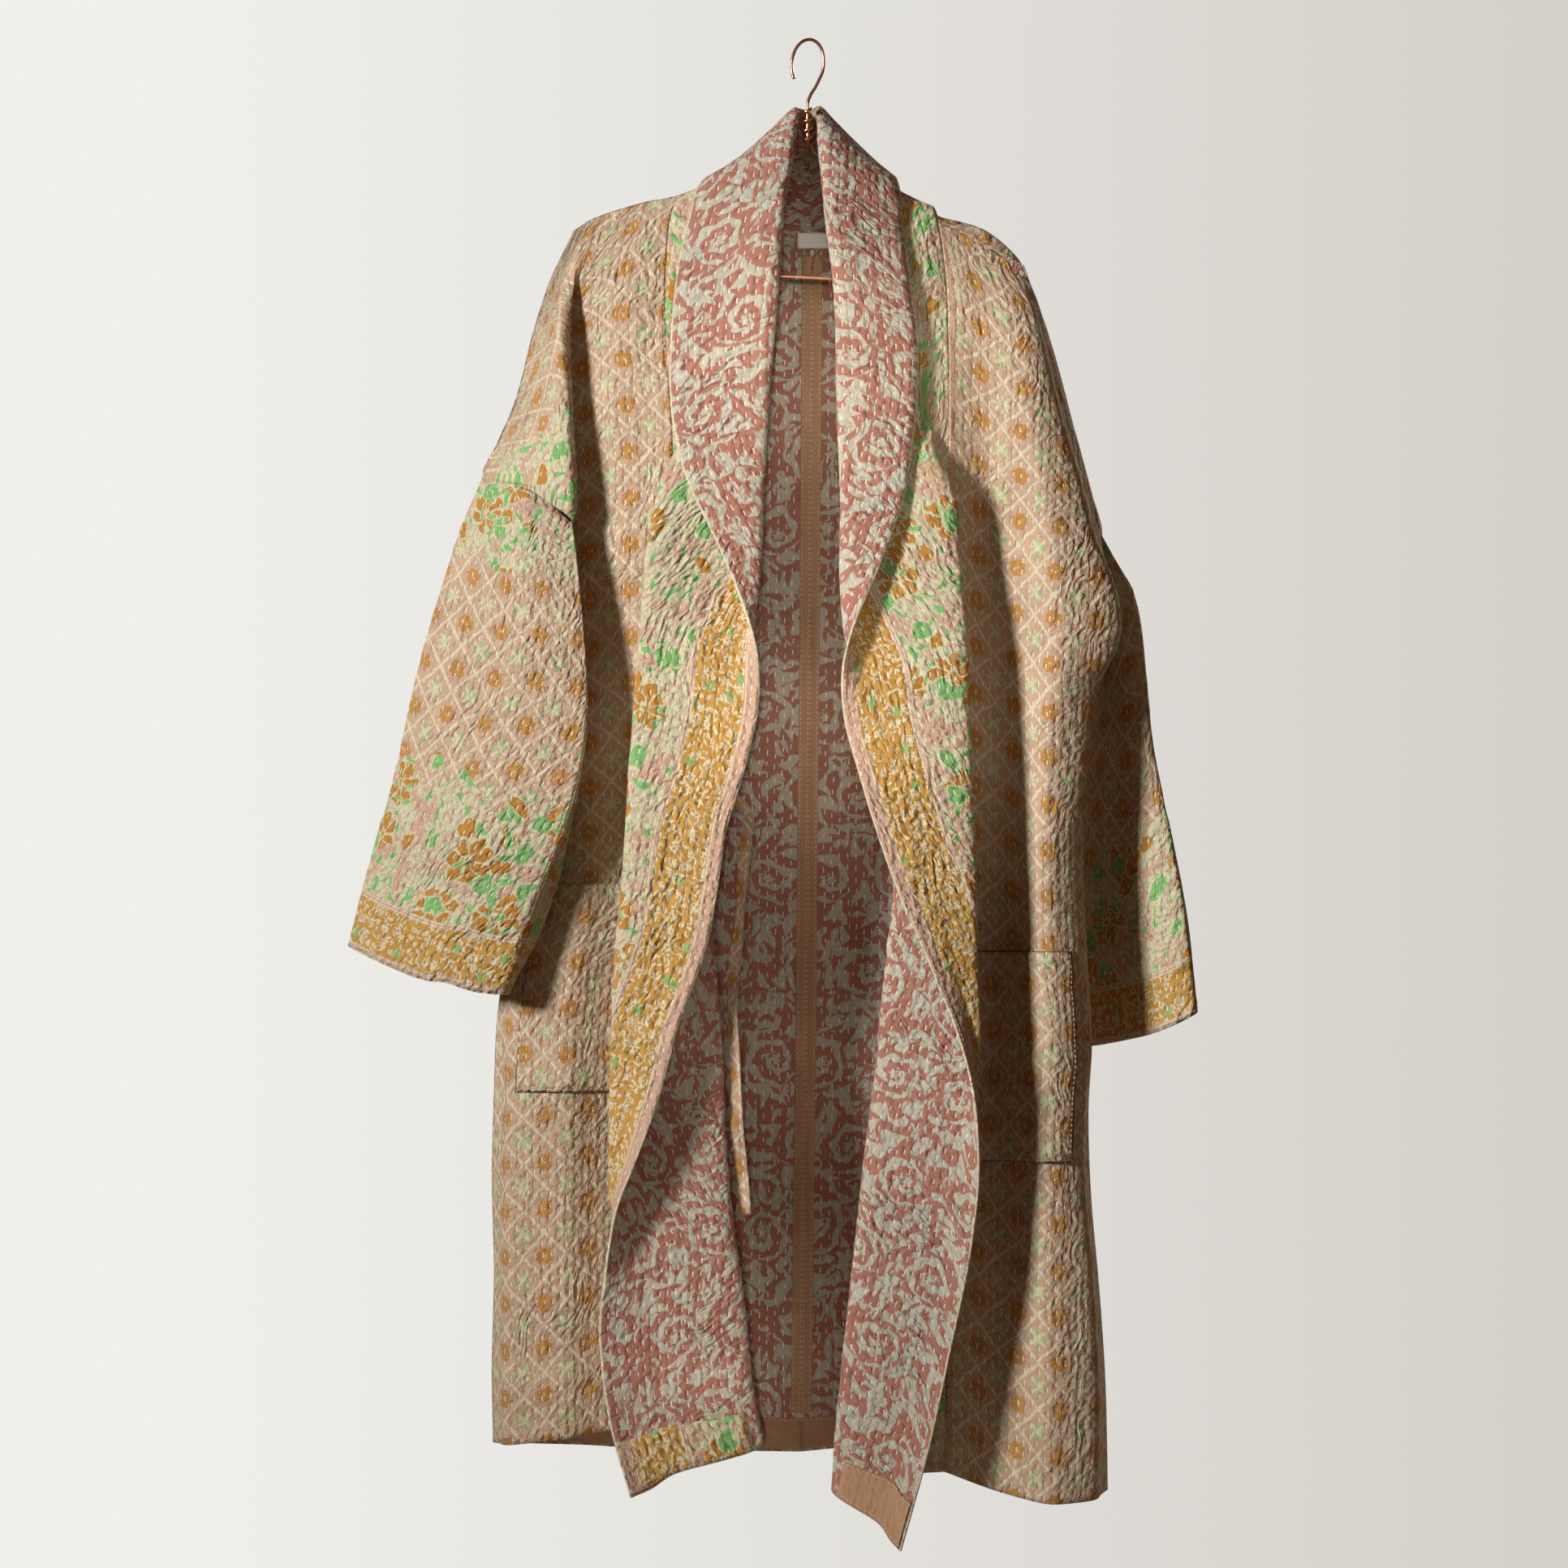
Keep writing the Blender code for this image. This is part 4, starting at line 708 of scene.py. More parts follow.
def shell(name, fine, fine_n, cut, thickness, materials, tube=False):
    """A closed wall on a fine grid; printed side first, then reverse, then the cut edges."""
    rows, columns = fine.shape[:2]
    half = rows * columns
    points = np.concatenate([(fine + fine_n * thickness / 2).reshape(-1, 3),
                             (fine - fine_n * thickness / 2).reshape(-1, 3)]) * MM
    faces, places, kinds = [], [], []
    for i in range(rows - 1):
        for j in range(columns if tube else columns - 1):
            a, b = i * columns + j, i * columns + (j + 1) % columns
            corners = [cut[i, j], cut[i, j + 1], cut[i + 1, j + 1], cut[i + 1, j]]
            faces.append((a, b, b + columns, a + columns))
            faces.append((half + a + columns, half + b + columns, half + b, half + a))
            places += corners + corners[::-1]
            kinds += [0, 1]
    if tube:
        rims = [[(0, j) for j in range(columns)], [(rows - 1, j) for j in range(columns - 1, -1, -1)]]
    else:
        rims = [[(0, j) for j in range(columns)] + [(i, columns - 1) for i in range(1, rows)]
                + [(rows - 1, j) for j in range(columns - 2, -1, -1)]
                + [(i, 0) for i in range(rows - 2, 0, -1)]]
    for rim in rims:
        for k, (i, j) in enumerate(rim):
            m, n = rim[(k + 1) % len(rim)]
            a, b = i * columns + j, m * columns + n
            faces.append((b, a, half + a, half + b))
            places += [cut[m, n], cut[i, j], cut[i, j], cut[m, n]]
            kinds.append(2 if len(materials) > 2 else 0)
    mesh = bpy.data.meshes.new(name)
    mesh.from_pydata([tuple(point) for point in points.tolist()], [], faces)
    for material in materials:
        mesh.materials.append(material)
    mesh.polygons.foreach_set("material_index", kinds)
    layer = mesh.uv_layers.new(name="cut")
    layer.data.foreach_set("uv", np.array(places).reshape(-1))
    mesh.shade_smooth()
    made = bpy.data.objects.new(name, mesh)
    bpy.context.scene.collection.objects.link(made)
    solid = bmesh.new()
    solid.from_mesh(mesh)
    volume = solid.calc_volume(signed=True)
    if volume < 0:
        bmesh.ops.reverse_faces(solid, faces=solid.faces)
        solid.to_mesh(mesh)
    solid.free()
    return made


fine_of = {}


def make_panel(name, grid, normals, sign, materials):
    """A sewn panel: its fine shell, creased and printed, in the place of its solid."""
    tube, is_band, right = name.startswith("sleeve"), name.startswith("band"), name.endswith("right")
    fine, fine_n = refine(grid, normals, sign, tube)
    cut = cut_of(fine, is_band, tube)
    fine = rumple(fine, fine_n, cut + (RIGHT_CREASES if right else 0.0), tube)
    fine_of[name] = (fine, fine_n)
    if right and is_band:
        cut = cut + RIGHT_BAND_PRINT
    elif right:
        cut = cut * (1 if tube else -1, 1) + (RIGHT_PRINT, 0.0)
    piece = shell(name + "_cloth", fine, fine_n, cut, THIN, materials, tube)
    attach(piece, "root")
    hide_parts(name)
    "hanger_arm_" + name.split("_")[1]


band_left, band_left_n = band(NECK_LEFT, BAND_LEFT, -1)
band_right, band_right_n = band(NECK_RIGHT, BAND_RIGHT, 1)
band_left[0, :, 0] += NECK_MEET
band_right[0, :, 0] -= NECK_MEET
BAND_SIDES = (band_print, reverse_print, band_print)
make_panel("band_left", band_left, band_left_n, -1, BAND_SIDES)
make_panel("band_right", band_right, band_right_n, 1, BAND_SIDES)

# Fronts
# Each runs from the band seam to the side seam, with the dropped cap of the shoulder, and hangs
# in two soft folds beside the sleeve.
FACE_BULGE = 9.0
FACE_LEAST = 25.0
FRONT_STEP = 54.0
SEAM_STRIP = 0.0075
CAP_FLOWERS = (0.80, 0.945)
CAP_INNER = 0.105

# Sections down each front: height at the band seam, then the middle, the tuck, the fold beside
# the sleeve, and the outer edge, which is the overarm line, the armhole seam, then the side seam
FRONT_LEFT = [
    (-139, (-140, -1.5, -143), (-165, -1.5, -150), (-188, -1.5, -158), (-206, -1.5, -169)),
    (-152, (-150, -9, -163), (-178, -8, -171), (-197, -7, -177), (-212, -3.5, -182)),
    (-200, (-160, -21, -210), (-200, -14, -212), (-208, -17, -214), (-227, -3.5, -214)),
    (-260, (-166, -27, -262), (-224, -9, -262), (-213, -31, -261), (-242, -3.5, -260)),
    (-320, (-168, -30, -320), (-229, -13, -320), (-210, -41, -320), (-257, -4, -318)),
    (-360, (-168, -31, -360), (-230, -14, -358), (-208, -48, -356), (-273, -4, -356)),
    (-400, (-168, -32, -400), (-230, -15, -396), (-206, -52, -390), (-286, -5, -386)),
    (-430, (-168, -32, -430), (-229, -16, -424), (-205, -54, -406), (-246, -46, -399)),
    (-446, (-167, -32, -446), (-228, -17, -438), (-205, -56, -420), (-226, -51, -413)),
    (-460, (-166, -32, -460), (-227, -18, -452), (-206.2, -52.3, -431.2), (-205, -54, -430)),
    (-478, (-165, -31, -478), (-223, -17, -474), (-222, -35, -460), (-221, -40, -455)),
    (-498, (-164, -30, -498), (-214, -14, -496), (-230, -23, -484), (-236, -31, -477)),
    (-518, (-162, -30, -518), (-204, -10, -518), (-231, -13, -507), (-243, -19, -497)),
    (-540, (-161, -30, -540), (-196, -12, -540), (-222, -7, -528), (-246, -5, -512)),
    (-575, (-160, -30, -575), (-190, -22, -575), (-210, -11, -572), (-230, 3, -560)),
    (-625, (-158, -29, -625), (-190, -39, -625), (-210, -29, -623), (-224, -4, -618)),
    (-690, (-160, -29, -690), (-194, -43, -690), (-224, -33, -690), (-240, -6, -688)),
    (-760, (-162, -29, -760), (-200, -44, -760), (-236, -34, -760), (-254, -6, -760)),
    (-863, (-162, -30, -863), (-212, -45, -863), (-256, -34, -863), (-273, -7, -863)),
    (-930, (-162, -32, -930), (-212, -47, -930), (-259, -36, -930), (-276, -7, -930)),
    (-1007, (-163, -34, -1007), (-214, -48, -1007), (-261, -37, -1007), (-278, -7, -1007)),
    (-1090, (-163, -35, -1090), (-214, -48, -1090), (-260, -37, -1090), (-276, -7, -1090)),
    (-1170, (-163, -36, -1170), (-215, -48, -1172), (-262, -37, -1174), (-278, -7, -1176)),
    (-1226, (-163, -36, -1227), (-216, -48, -1235), (-262, -37, -1241), (-277, -7, -1242)),
]
FRONT_RIGHT = [
    (-159, (140, -8.5, -172), (160, -8.5, -183), (178, -8.5, -193), (192, -8, -200)),
    (-162, (142, -9.6, -177), (162, -9.6, -188), (180, -9.2, -198), (194, -8, -206)),
    (-168, (146, -12.5, -189), (168, -12.5, -199), (184, -11.5, -208), (197, -8, -215)),
    (-215, (153, -22, -228), (180, -23, -230), (196, -18, -232), (204, -8, -233)),
    (-275, (156, -27, -280), (191, -31, -280), (209, -24, -280), (217, -8, -280)),
    (-335, (159, -27, -337), (199, -38, -337), (222, -29, -337), (233, -8, -336)),
    (-400, (161, -25, -400), (210, -45, -400), (240, -34, -400), (251, -8, -400)),
    (-440, (162, -24, -440), (216, -49, -440), (249, -38, -440), (259, -9, -436)),
    (-475, (163, -22, -475), (219, -52, -475), (265, -37, -474), (263, -10, -464)),
    (-508, (164, -21, -508), (222, -53, -508), (274, -36, -506), (265, -8, -491)),
    (-538, (164, -20, -538), (222, -53, -538), (273, -34, -534), (259, 6, -514)),
    (-568, (165, -18, -568), (220, -52, -567), (261, -32, -560), (251, 18, -532)),
    (-600, (165, -18, -600), (216, -50, -600), (250, -33, -596), (245, -6, -576)),
    (-640, (166, -17, -640), (213, -48, -640), (245, -33, -638), (245, -4, -630)),
    (-690, (166, -16, -690), (211, -47, -690), (240, -32, -690), (244, -7, -690)),
    (-760, (166, -16, -760), (211, -46, -760), (239, -31, -760), (245, -7, -760)),
    (-830, (167, -18, -830), (212, -46, -830), (243, -31, -830), (249, -7, -830)),
    (-888, (167, -20, -888), (213, -46, -888), (245, -31, -888), (252, -7, -888)),
    (-946, (167, -22, -946), (213, -46, -946), (242, -31, -946), (249, -7, -946)),
    (-1020, (168, -24, -1020), (213, -46, -1020), (243, -32, -1020), (251, -7, -1020)),
    (-1100, (168, -26, -1100), (214, -46, -1100), (249, -33, -1100), (258, -7, -1100)),
    (-1190, (168, -28, -1190), (215, -46, -1190), (253, -33, -1190), (264, -7, -1190)),
    (-1264, (166, -30, -1282), (214, -46, -1292), (252, -33, -1290), (266, -7, -1284)),
]


def nearest_on(line, line_normals, place):
    """The point of a line nearest to a place, with the cloth's normal there."""
    best = None
    for i in range(len(line) - 1):
        step = line[i + 1] - line[i]
        part = float(np.clip(np.dot(place - line[i], step) / max(np.dot(step, step), 1e-9), 0, 1))
        point = line[i] + part * step
        distance = float(np.linalg.norm(point - place))
        if best is None or distance < best[0]:
            normal = unit(line_normals[i] * (1 - part) + line_normals[i + 1] * part)
            best = (distance, point, normal)
    return best[1], best[2]


def join_edge(grid, normals, places, inner_places, line, line_normals):
    """Lays the given edge places along another piece's edge, one seam gap away."""
    for place, inner in zip(places, inner_places):
        point, normal = nearest_on(line, line_normals, grid[place])
        away = grid[inner] - point
        away = unit(away - normal * np.dot(away, normal))
        grid[place] = point + away * SEAM_GAP
        normals[place] = normal


def row_at(grid, column, height):
    """Where a column reaches a height, as a fractional row."""
    heights = grid[:, column, 2]
    for i in range(len(heights) - 1):
        if heights[i] >= height >= heights[i + 1]:
            return i + (heights[i] - height) / max(heights[i] - heights[i + 1], 1e-9)
    return float(len(heights) - 1)


def front(table, band_grid, band_normals, sign):
    rows = []
    for seam_z, middle, tuck, fold, outer in table:
        row = row_at(band_grid, 0, seam_z)
        i = min(int(row), len(band_grid) - 2)
        seam = band_grid[i, 0] * (i + 1 - row) + band_grid[i + 1, 0] * (row - i)
        tuck, fold, outer = np.array(tuck, float), np.array(fold, float), np.array(outer, float)
        wide = float(np.linalg.norm(outer - fold))
        bulge = FACE_BULGE * min(1.0, max(0.0, (wide - FACE_LEAST) / FACE_LEAST / 2))
        face = (fold + outer) / 2 - np.array((0, bulge, 0))
        middle = np.array(middle, float)
        rows.append([seam, middle] + fold_pair(middle, tuck, fold) + fold_pair(tuck, fold, face)
                    + [face, outer])
    sections = [across(row, (THIRDS, HALF, WHOLE, HALF, HALF, HALF, HALF)) for row in rows]
    grid = along(sections, FRONT_STEP)
    normals = normals_of(grid, sign)
    places = [(i, 0) for i in range(len(grid))]
    inner = [(i, 1) for i in range(len(grid))]
    join_edge(grid, normals, places, inner, band_grid[:, 0], band_normals[:, 0])
    return grid, normals


def cap_side(board, place):
    """The lattice, with bouquets on the shoulder cap just above the armhole seam."""
    across_cut, up_cut = board.split(place)
    drift = board.spread(board.noise(place, 34.0, 1.0), 0.07, -0.035)
    high = board.within(board.plus(up_cut, drift), CAP_FLOWERS[0], CAP_FLOWERS[1], 0.002)
    outer = board.flip(board.below(board.plus(across_cut, drift), CAP_INNER, 0.002))
    flowers = use_group(board, bouquet, Place=place)["Color"]
    return board.paint(board.both(high, outer), lattice_print(board, place), flowers)


def strip_side(board, place):
    """The lattice, with a plain strip of seam allowance beside the band seam."""
    across_cut, up_cut = board.split(place)
    strip = board.flip(board.below(across_cut, RIGHT_PRINT - SEAM_STRIP, EDGE_SOFT))
    return board.paint(strip, lattice_print(board, place), linear("C09C80"))


cap_print = cloth("cap_print", cap_side, 0.0015)
strip_print = cloth("strip_print", strip_side, 0.0012)
front_left, front_left_n = front(FRONT_LEFT, band_left, band_left_n, 1)
front_right, front_right_n = front(FRONT_RIGHT, band_right, band_right_n, -1)

# Backs
# Two halves joined down the centre back, sewn to the fronts over the shoulders and down the sides.
NECK_COLUMNS = 6
BACK_MEET = 0.6

# Sections down each back: the centre back, three places across, the silhouette and the outer edge
BACK_LEFT = [
    ((4.2, 44, -181), (-40, 42, -173), (-82, 24, -152),
     (-102, 2, -135), (-160, 1.5, -148.5), (-206, 1.5, -169)),
    ((4.2, 45, -200), (-42, 44, -195), (-88, 33, -178),
     (-116, 19, -160), (-166, 9, -166), (-212, 3.5, -182)),
    ((4.2, 46, -240), (-45, 45, -238), (-94, 39, -232),
     (-134, 31, -226), (-188, 19, -224), (-233, 4, -226)),
    ((3.8, 46, -290), (-50, 45, -290), (-105, 41, -289),
     (-155, 33, -287), (-212, 22, -285), (-249, 4, -285)),
    ((3.4, 46, -340), (-52, 45, -340), (-110, 41, -340),
     (-168, 33, -338), (-232, 24, -336), (-265, 4, -336)),
    ((3.0, 45, -395), (-55, 45, -395), (-115, 41, -395),
     (-175, 33, -393), (-244, 27, -390), (-286, 4, -387)),
    ((2.6, 45, -445), (-55, 45, -445), (-112, 41, -445),
     (-168, 34, -444), (-228, 28, -440), (-268, 20, -430)),
    ((2.4, 44, -485), (-54, 44, -485), (-108, 41, -485),
     (-160, 34, -485), (-222, 24, -483), (-257, 16, -476)),
    ((2.2, 44, -525), (-54, 44, -525), (-106, 40, -525),
     (-156, 32, -525), (-212, 18, -522), (-246, -4, -512)),
    ((1.8, 44, -575), (-52, 44, -575), (-103, 40, -575),
     (-150, 30, -575), (-200, 20, -572), (-231, 5, -560)),
    ((1.2, 44, -625), (-54, 44, -625), (-104, 40, -625),
     (-152, 31, -625), (-198, 18, -624), (-224, -3, -618)),
    ((-0.2, 43, -740), (-60, 43, -740), (-120, 40, -740),
     (-176, 32, -740), (-230, 18, -740), (-251, -5, -740)),
    ((-1.2, 42, -863), (-64, 42, -863), (-128, 40, -863),
     (-190, 33, -863), (-250, 19, -863), (-273, -6, -863)),
    ((-2.7, 42, -990), (-66, 45, -990), (-130, 40, -990),
     (-194, 36, -990), (-254, 20, -990), (-277, -6, -990)),
    ((-4.2, 41, -1110), (-66, 46, -1110), (-130, 39, -1110),
     (-194, 38, -1110), (-253, 20, -1110), (-276, -6, -1110)),
    ((-5.8, 41, -1256), (-66, 48, -1256), (-130, 38, -1254),
     (-194, 40, -1250), (-254, 20, -1246), (-277, -6, -1242)),
]
BACK_RIGHT = [
    ((5.8, 44, -181), (48, 42, -177), (86, 24, -162),
     (110, -3.6, -154), (146, -8, -171), (192, -8, -200)),
    ((5.8, 44.5, -190), (49, 43, -185), (89, 28, -171),
     (114, 5, -158), (156, 1, -167), (200, 0, -206)),
    ((5.8, 45, -206), (50, 44, -202), (92, 34, -190),
     (124, 20, -180), (164, 13, -187), (206, 4, -215)),
    ((5.6, 46, -245), (52, 45, -244), (100, 39, -241),
     (142, 31, -240), (186, 20, -242), (218, 3, -244)),
    ((5.2, 46, -300), (54, 45, -300), (108, 41, -300),
     (156, 33, -300), (210, 22, -300), (232, 2, -299)),
    ((4.8, 46, -350), (56, 45, -350), (110, 41, -350),
     (162, 34, -350), (222, 24, -350), (246, 2, -349)),
    ((4.4, 45, -400), (57, 45, -400), (112, 41, -400),
     (168, 34, -400), (234, 26, -400), (259, 2, -399)),
    ((4.2, 45, -438), (57, 45, -438), (112, 41, -438),
     (170, 34, -438), (246, 28, -438), (267, 0, -437)),
    ((4.0, 45, -470), (57, 45, -470), (112, 42, -470),
     (166, 37, -470), (232, 33, -470), (262, 27, -464)),
    ((3.8, 44, -500), (57, 44, -500), (112, 41, -500),
     (164, 37, -500), (222, 34, -499), (255, 31, -491)),
    ((3.6, 44, -525), (57, 44, -525), (111, 41, -525),
     (163, 36, -525), (218, 33, -522), (252, 29, -514)),
    ((3.4, 44, -550), (56, 44, -550), (110, 40, -550),
     (162, 35, -550), (216, 30, -546), (251, 19, -532)),
    ((3.0, 44, -590), (56, 44, -590), (110, 40, -590),
     (162, 33, -590), (212, 20, -588), (245, -5, -576)),
    ((2.4, 44, -640), (56, 44, -640), (110, 40, -640),
     (162, 31, -640), (212, 18, -638), (245, -3, -630)),
    ((1.4, 43, -750), (56, 43, -750), (110, 40, -750),
     (162, 31, -750), (212, 18, -750), (245, -6, -750)),
    ((0.4, 42, -880), (58, 42, -880), (116, 40, -880),
     (170, 33, -880), (222, 19, -880), (252, -6, -880)),
    ((-1.2, 42, -1000), (60, 45, -1000), (118, 40, -1000),
     (174, 36, -1000), (224, 20, -1000), (250, -6, -1000)),
    ((-2.8, 41, -1120), (62, 46, -1120), (122, 39, -1124),
     (180, 38, -1130), (234, 20, -1138), (260, -6, -1142)),
    ((-4.6, 41, -1256), (62, 48, -1252), (124, 38, -1260),
     (184, 40, -1272), (240, 20, -1281), (266, -6, -1284)),
]


def back(table, sign, heights):
    """A back half; its rows end at the heights where the front's rows end."""
    sections = np.array([across(row, (HALF, HALF, HALF, THIRDS, THIRDS)) for row in table])
    gaps = np.linalg.norm(sections[1:] - sections[:-1], axis=2).mean(axis=1)
    knots = np.concatenate([[0], np.cumsum(gaps)])
    tried = np.linspace(0, knots[-1], 2000)
    reached = np.minimum.accumulate(hermite(sections[:, -1], knots, tried)[:, 2])
    targets = np.interp(-np.asarray(heights), -reached, tried)
    targets[0], targets[-1] = 0.0, knots[-1]
    grid = hermite(sections, knots, targets)
    return grid, normals_of(grid, sign)


def away_from(point, normal, inner):
    """One seam gap from a point, along the cloth and towards a piece's inner point."""
    away = inner - point
    return point + unit(away - normal * np.dot(away, normal)) * SEAM_GAP


def sew_back(back_grid, back_normals, front_grid, front_normals, band_grid, band_normals, rows):
    """Meets the neck seam, the shoulder seam, and the overarm and side seams."""
    columns = range(NECK_COLUMNS + 1)
    join_edge(back_grid, back_normals, [(0, j) for j in columns], [(1, j) for j in columns],
              band_grid[:, 0], band_normals[:, 0])
    met = []
    for j in range(NECK_COLUMNS + 1, back_grid.shape[1]):
        k = int(np.argmin(np.linalg.norm(front_grid[0] - back_grid[0, j], axis=1)))
        back_normals[0, j] = unit(front_normals[0, k] + back_normals[0, j])
        back_grid[0, j] = away_from(front_grid[0, k], back_normals[0, j], back_grid[1, j])
        met.append((k, back_normals[0, j]))
    for (k0, start), (k1, end) in zip(met[:-1], met[1:]):
        for k in range(k0, k1 + 1):
            part = (k - k0) / (k1 - k0)
            front_normals[0, k] = start * (1 - part) + end * part
            front_grid[0, k] = front_grid[0, k0] * (1 - part) + front_grid[0, k1] * part
    for i in rows:
        shared = unit(front_normals[i, -1] + back_normals[i, -1])
        front_normals[i, -1] = back_normals[i, -1] = shared
        back_grid[i, -1] = away_from(front_grid[i, -1], shared, back_grid[i, -2])


back_left, back_left_n = back(BACK_LEFT, -1, front_left[:, -1, 2])
back_right, back_right_n = back(BACK_RIGHT, 1, front_right[:, -1, 2])
back_left[:, 0, 0] += BACK_MEET
back_right[:, 0, 0] -= BACK_MEET
ARMHOLE_LEFT = [int(row_at(front_left, -1, height) + 0.5) for height in (-386, -512, -430)]
ARMHOLE_RIGHT = [int(row_at(front_right, -1, height) + 0.5) for height in (-436, -532, -491)]
for front_part, back_part, band_part, armhole in (
        ((front_left, front_left_n), (back_left, back_left_n), (band_left, band_left_n),
         ARMHOLE_LEFT),
        ((front_right, front_right_n), (back_right, back_right_n), (band_right, band_right_n),
         ARMHOLE_RIGHT)):
    rows = [i for i in range(1, len(front_part[0])) if i <= armhole[0] or i >= armhole[1]]
    sew_back(*back_part, *front_part, *band_part, rows)

# Sleeves
# Wide straight tubes sewn to the dropped armholes, with the cloth's gold border at the cuffs.
SLEEVE_STEP = 50.0
CORNER_REACH = 4.0
HIDDEN_GAP = 3.0
CORNER_GAP = 1.4

# Sections down each sleeve below the armhole seam: underarm, front inner fold, front middle,
# outer fold, back middle, back inner
SLEEVE_LEFT = [
    ((-240, -36, -563), (-198, -65, -512), (-252, -57, -468), (-304, -8, -433),
     (-288, 10, -484), (-268, -8, -530)),
    ((-216, -51, -652), (-195, -72, -605), (-262, -62, -566), (-338, -14, -545),
     (-298, -2, -590), (-250, -34, -635)),
    ((-214, -57, -727), (-212, -78, -690), (-290, -66, -656), (-364, -20, -660),
     (-310, -18, -690), (-250, -46, -715)),
    ((-238, -57, -797), (-242, -80, -764), (-318, -68, -742), (-388, -24, -746),
     (-334, -20, -766), (-276, -42, -785)),
    ((-262, -57, -850), (-266, -80, -836), (-338, -70, -830), (-402, -28, -803),
     (-350, -22, -826), (-296, -38, -842)),
]
SLEEVE_RIGHT = [
    ((249, 53, -592), (266, 14, -560), (280, 2, -526), (290, 14, -496),
     (280, 46, -536), (265, 62, -576)),
    ((240, 65, -668), (265, 36, -634), (288, 12, -606), (308, 14, -626),
     (294, 46, -640), (264, 70, -660)),
    ((232, 80, -743), (266, 46, -716), (298, 16, -700), (323, 12, -706),
     (302, 44, -720), (266, 74, -740)),
    ((230, 86, -821), (266, 48, -800), (306, 16, -788), (337, 8, -790),
     (312, 44, -800), (270, 78, -815)),
    ((230, 90, -899), (268, 50, -892), (312, 16, -880), (345, 8, -863),
     (318, 46, -872), (272, 80, -886)),
]


def sleeve(table, rows, corner, front_panel, back_panel, sign):
    """A tube from the armhole to the cuff; its columns start on the ends of the panels' rows."""
    front_grid, front_normals = front_panel
    back_grid, back_normals = back_panel
    up = list(range(rows[1], rows[0] - 1, -1))
    down = list(range(rows[0] + 1, rows[1] + 1))
    edge = ([(front_grid, front_normals, i) for i in up]
            + [(back_grid, back_normals, i) for i in down])
    points = np.array([grid[i, -1] for grid, normals, i in edge])
    points[0] = points[-1] = (points[0] + points[-1]) / 2
    run = np.concatenate([[0], np.cumsum(np.linalg.norm(points[1:] - points[:-1], axis=1))])
    turn, over = up.index(corner), len(up) - 1
    stops = [run[0], run[turn], run[over], run[-1]]
    places = sorted(list(run) + [(a + b) / 2 for a, b in zip(run[:-1], run[1:])]
                    + [run[k] + side * CORNER_REACH for k in (turn, over) for side in (-1, 1)])
    top = np.array([[np.interp(place, run, points[:, k]) for k in range(3)] for place in places])
    sections = []
    for row in table:
        under, inside, middle, outside, behind, within = [np.array(place, float) for place in row]
        row = np.array([under] + fold_pair(under, inside, middle) + [middle]
                       + fold_pair(middle, outside, behind) + [behind, within, under])
        gaps = np.linalg.norm(row[1:] - row[:-1], axis=1)
        knots = np.concatenate([[0], np.cumsum(gaps ** 0.5)])
        ends = [knots[0], (knots[1] + knots[2]) / 2, (knots[4] + knots[5]) / 2, knots[-1]]
        sections.append(hermite(row, knots, np.interp(places, stops, ends)))
    grid = along([top] + sections, SLEEVE_STEP)[:, :-1]
    around = np.concatenate([grid[:, -1:], grid, grid[:, :1]], axis=1)
    normals = normals_of(around, sign)[:, 1:-1]
    own = [int(np.argmin([abs(place - reached) for place in places])) for reached in run[:-1]]
    shared = [unit(normals[0, j] + panel_normals[i, -1])
              for j, (panel, panel_normals, i) in zip(own, edge)]
    shared.append(shared[0])
    for turned, (panel, panel_normals, i) in zip(shared, edge):
        panel_normals[i, -1] = turned
    back_normals[rows[0], -1] = shared[over]
    shared = np.array(shared)
    gap_places = [run[0], run[turn] * 0.6, run[turn], run[turn] + 3 * CORNER_REACH, run[over],
                  (run[over] + run[-1]) / 2, run[-1]]
    gap_sizes = [HIDDEN_GAP, HIDDEN_GAP, CORNER_GAP, SEAM_GAP, SEAM_GAP, HIDDEN_GAP / 2, HIDDEN_GAP]
    for j, place in enumerate(places[:-1]):
        normals[0, j] = [np.interp(place, run, shared[:, k]) for k in range(3)]
        k = min(int(np.searchsorted(run, place, side="right")) - 1, len(edge) - 2)
        tangent = points[k + 1] - points[k]
        if place == run[k]:
            tangent = points[k + 1] - points[k - 1 if k else -2]
        away = unit(np.cross(normals[0, j], unit(tangent))) * sign
        grid[0, j] = top[j] + away * np.interp(place, gap_places, gap_sizes)
    return grid, normals


sleeve_left, sleeve_left_n = sleeve(
    SLEEVE_LEFT, ARMHOLE_LEFT[:2], ARMHOLE_LEFT[2], (front_left, front_left_n),
    (back_left, back_left_n), 1)
sleeve_right, sleeve_right_n = sleeve(
    SLEEVE_RIGHT, ARMHOLE_RIGHT[:2], ARMHOLE_RIGHT[2], (front_right, front_right_n),
    (back_right, back_right_n), -1)

# The left cuff hangs almost shut towards the body: its hem's heights at places across
CUFF_ACROSS = (-321, -300, -285, -262)
CUFF_HEM = (-831, -838, -842, -843)
CUFF_BACK_RISE = 1.5
CUFF_START = -335
CUFF_EASE = 25
CUFF_REACH = 70


def eased(share):
    share = np.clip(share, 0, 1)
    return share * share * (3 - 2 * share)


for j in range(sleeve_left.shape[1]):
    x, y, hem = sleeve_left[-1, j]
    target = np.interp(x, CUFF_ACROSS, CUFF_HEM) + CUFF_BACK_RISE * (sleeve_left_n[-1, j, 1] > 0)
    shift = (target - hem) * eased((x - CUFF_START) / CUFF_EASE)
    sleeve_left[:, j, 2] += shift * eased(1 - (sleeve_left[:, j, 2] - hem) / CUFF_REACH)

